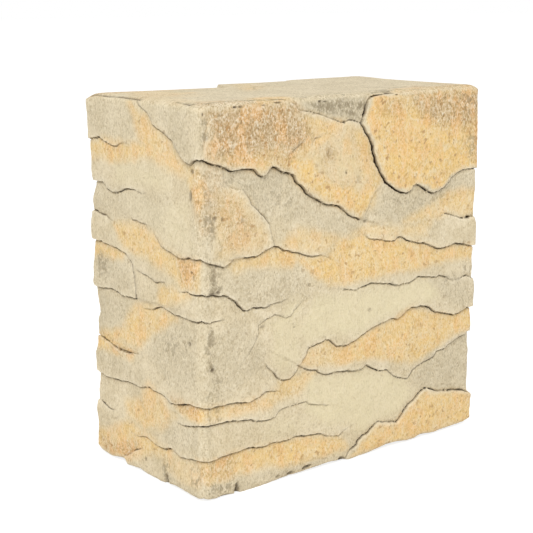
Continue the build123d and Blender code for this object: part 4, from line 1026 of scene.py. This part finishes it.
# Edges are worn pale with a painted highlight, painted shade lies under them and in the
# pocks, grime with painted shade in the grimy hollows, and painted shade with dirt in the
# open splits, nicks and creases.
worn_and_lit, edge_shade_colour, pock_shade, dyed_pock_shade, grime_and_shade_colour, dark_shade_and_dirt = [dye(*seen) for seen in (
    (244, 233, 208), (176, 160, 130), (176, 157, 125), (194, 152, 100), (146, 132, 106),
    (66, 50, 35),
)]
# A painted highlight, with wear, along the proud edges of the splits.
colour = wash_over(colour, worn_and_lit, times(stored("worn_and_lit_edge"), 0.45))
# Painted shade on the deep side under the edges of the splits.
colour = wash_over(colour, edge_shade_colour, times(stored("shade_under_edge"), 0.14))
# Painted shade in the pocks.
colour = wash_over(colour, pock_shade, times(pocks, rough))
colour = wash_over(colour, dyed_pock_shade, times(pocks, dyed))
# Grime and painted shade in the grimy hollows.
grime_and_shade_cover = plus(times(stored("grime_and_shade"), 0.5), times(speckle(5, 3, 0.6), 1.6))
grime_and_shade_cover = less(grime_and_shade_cover, times(relief, 0.15))
grime_and_shade_cover = times(spread(grime_and_shade_cover, 0.95, 1.32), stored("grime_and_shade"))
colour = wash_over(colour, grime_and_shade_colour, times(grime_and_shade_cover, 0.95))
# Painted shade and dirt in the splits, nicks and creases.
shade_and_dirt_cover = times(stored("recess_shade_and_dirt"), spread(blotch, 0.2, 0.6, 0.8, 1.1), True)
colour = wash_over(colour, dark_shade_and_dirt, shade_and_dirt_cover)
links.new(colour, shader.inputs["Base Color"])

bumps = nodes.new("ShaderNodeBump")
bumps.inputs["Strength"].default_value = 0.5
bumps.inputs["Distance"].default_value = 0.8 * mm
links.new(times(relief, plus(rough, 0.2)), bumps.inputs["Height"])
links.new(bumps.outputs["Normal"], shader.inputs["Normal"])

block.data.materials.clear()
block.data.materials.append(concrete)
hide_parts("block")
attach(block, "root")


# The floor is a plain white sheet of paper. It is seen as white, with the block's
# shadow left on it.
def by_sight(tree, output, lighting, looks):
    """Lights the scene with one shader and shows the camera another."""
    rays = tree.nodes.new("ShaderNodeLightPath")
    either = tree.nodes.new("ShaderNodeMixShader")
    tree.links.new(rays.outputs["Is Camera Ray"], either.inputs[0])
    tree.links.new(lighting, either.inputs[1])
    tree.links.new(looks, either.inputs[2])
    tree.links.new(either.outputs[0], tree.nodes[output].inputs["Surface"])


bpy.ops.object.select_all(action="DESELECT")
bpy.ops.mesh.primitive_plane_add(size=30, location=(0, 0, 0))
floor = bpy.context.object
floor.name = "floor"
paper = bpy.data.materials.new("white paper")
paper.use_nodes = True
sheet_tree = paper.node_tree
sheet = sheet_tree.nodes["Principled BSDF"]
sheet.inputs["Base Color"].default_value = (0.8, 0.8, 0.8, 1)
sheet.inputs["Roughness"].default_value = 0.95
matt = sheet_tree.nodes.new("ShaderNodeBsdfDiffuse")
matt.inputs["Color"].default_value = (0.35, 0.35, 0.35, 1)
lit = sheet_tree.nodes.new("ShaderNodeEmission")
lit.inputs["Strength"].default_value = 0.8
white_with_shadow = sheet_tree.nodes.new("ShaderNodeAddShader")
sheet_tree.links.new(matt.outputs[0], white_with_shadow.inputs[0])
sheet_tree.links.new(lit.outputs[0], white_with_shadow.inputs[1])
by_sight(sheet_tree, "Material Output", sheet.outputs[0], white_with_shadow.outputs[0])
floor.data.materials.append(paper)

# The light is soft and comes from all round, with one wide lamp up at the camera's
# side and a weak one low behind. What is seen behind the block is pure white.
world = bpy.data.worlds.new("white room")
bpy.context.scene.world = world
world.use_nodes = True
background = world.node_tree.nodes["Background"]
background.inputs["Strength"].default_value = 0.69
background.inputs["Color"].default_value = (1, 1, 1, 1)
white_wall = world.node_tree.nodes.new("ShaderNodeBackground")
white_wall.inputs["Color"].default_value = (1, 1, 1, 1)
by_sight(world.node_tree, "World Output", background.outputs[0], white_wall.outputs[0])

for name, energy, spot_m, (tilt, pan) in (
    ("soft box", 80, (-1.78, -1.78, 2.75), (44, -45)),
    ("low fill", 22, (2.3, 2.3, 0.9), (77, 135)),
):
    disk = bpy.data.lights.new(name, "AREA")
    disk.shape = "DISK"
    disk.size = 1.8
    disk.energy = energy
    lamp = bpy.data.objects.new(name, disk)
    lamp.location = spot_m
    lamp.rotation_euler = (math.radians(tilt), 0, math.radians(pan))
    bpy.context.collection.objects.link(lamp)

bpy.context.scene.view_settings.view_transform = "Standard"
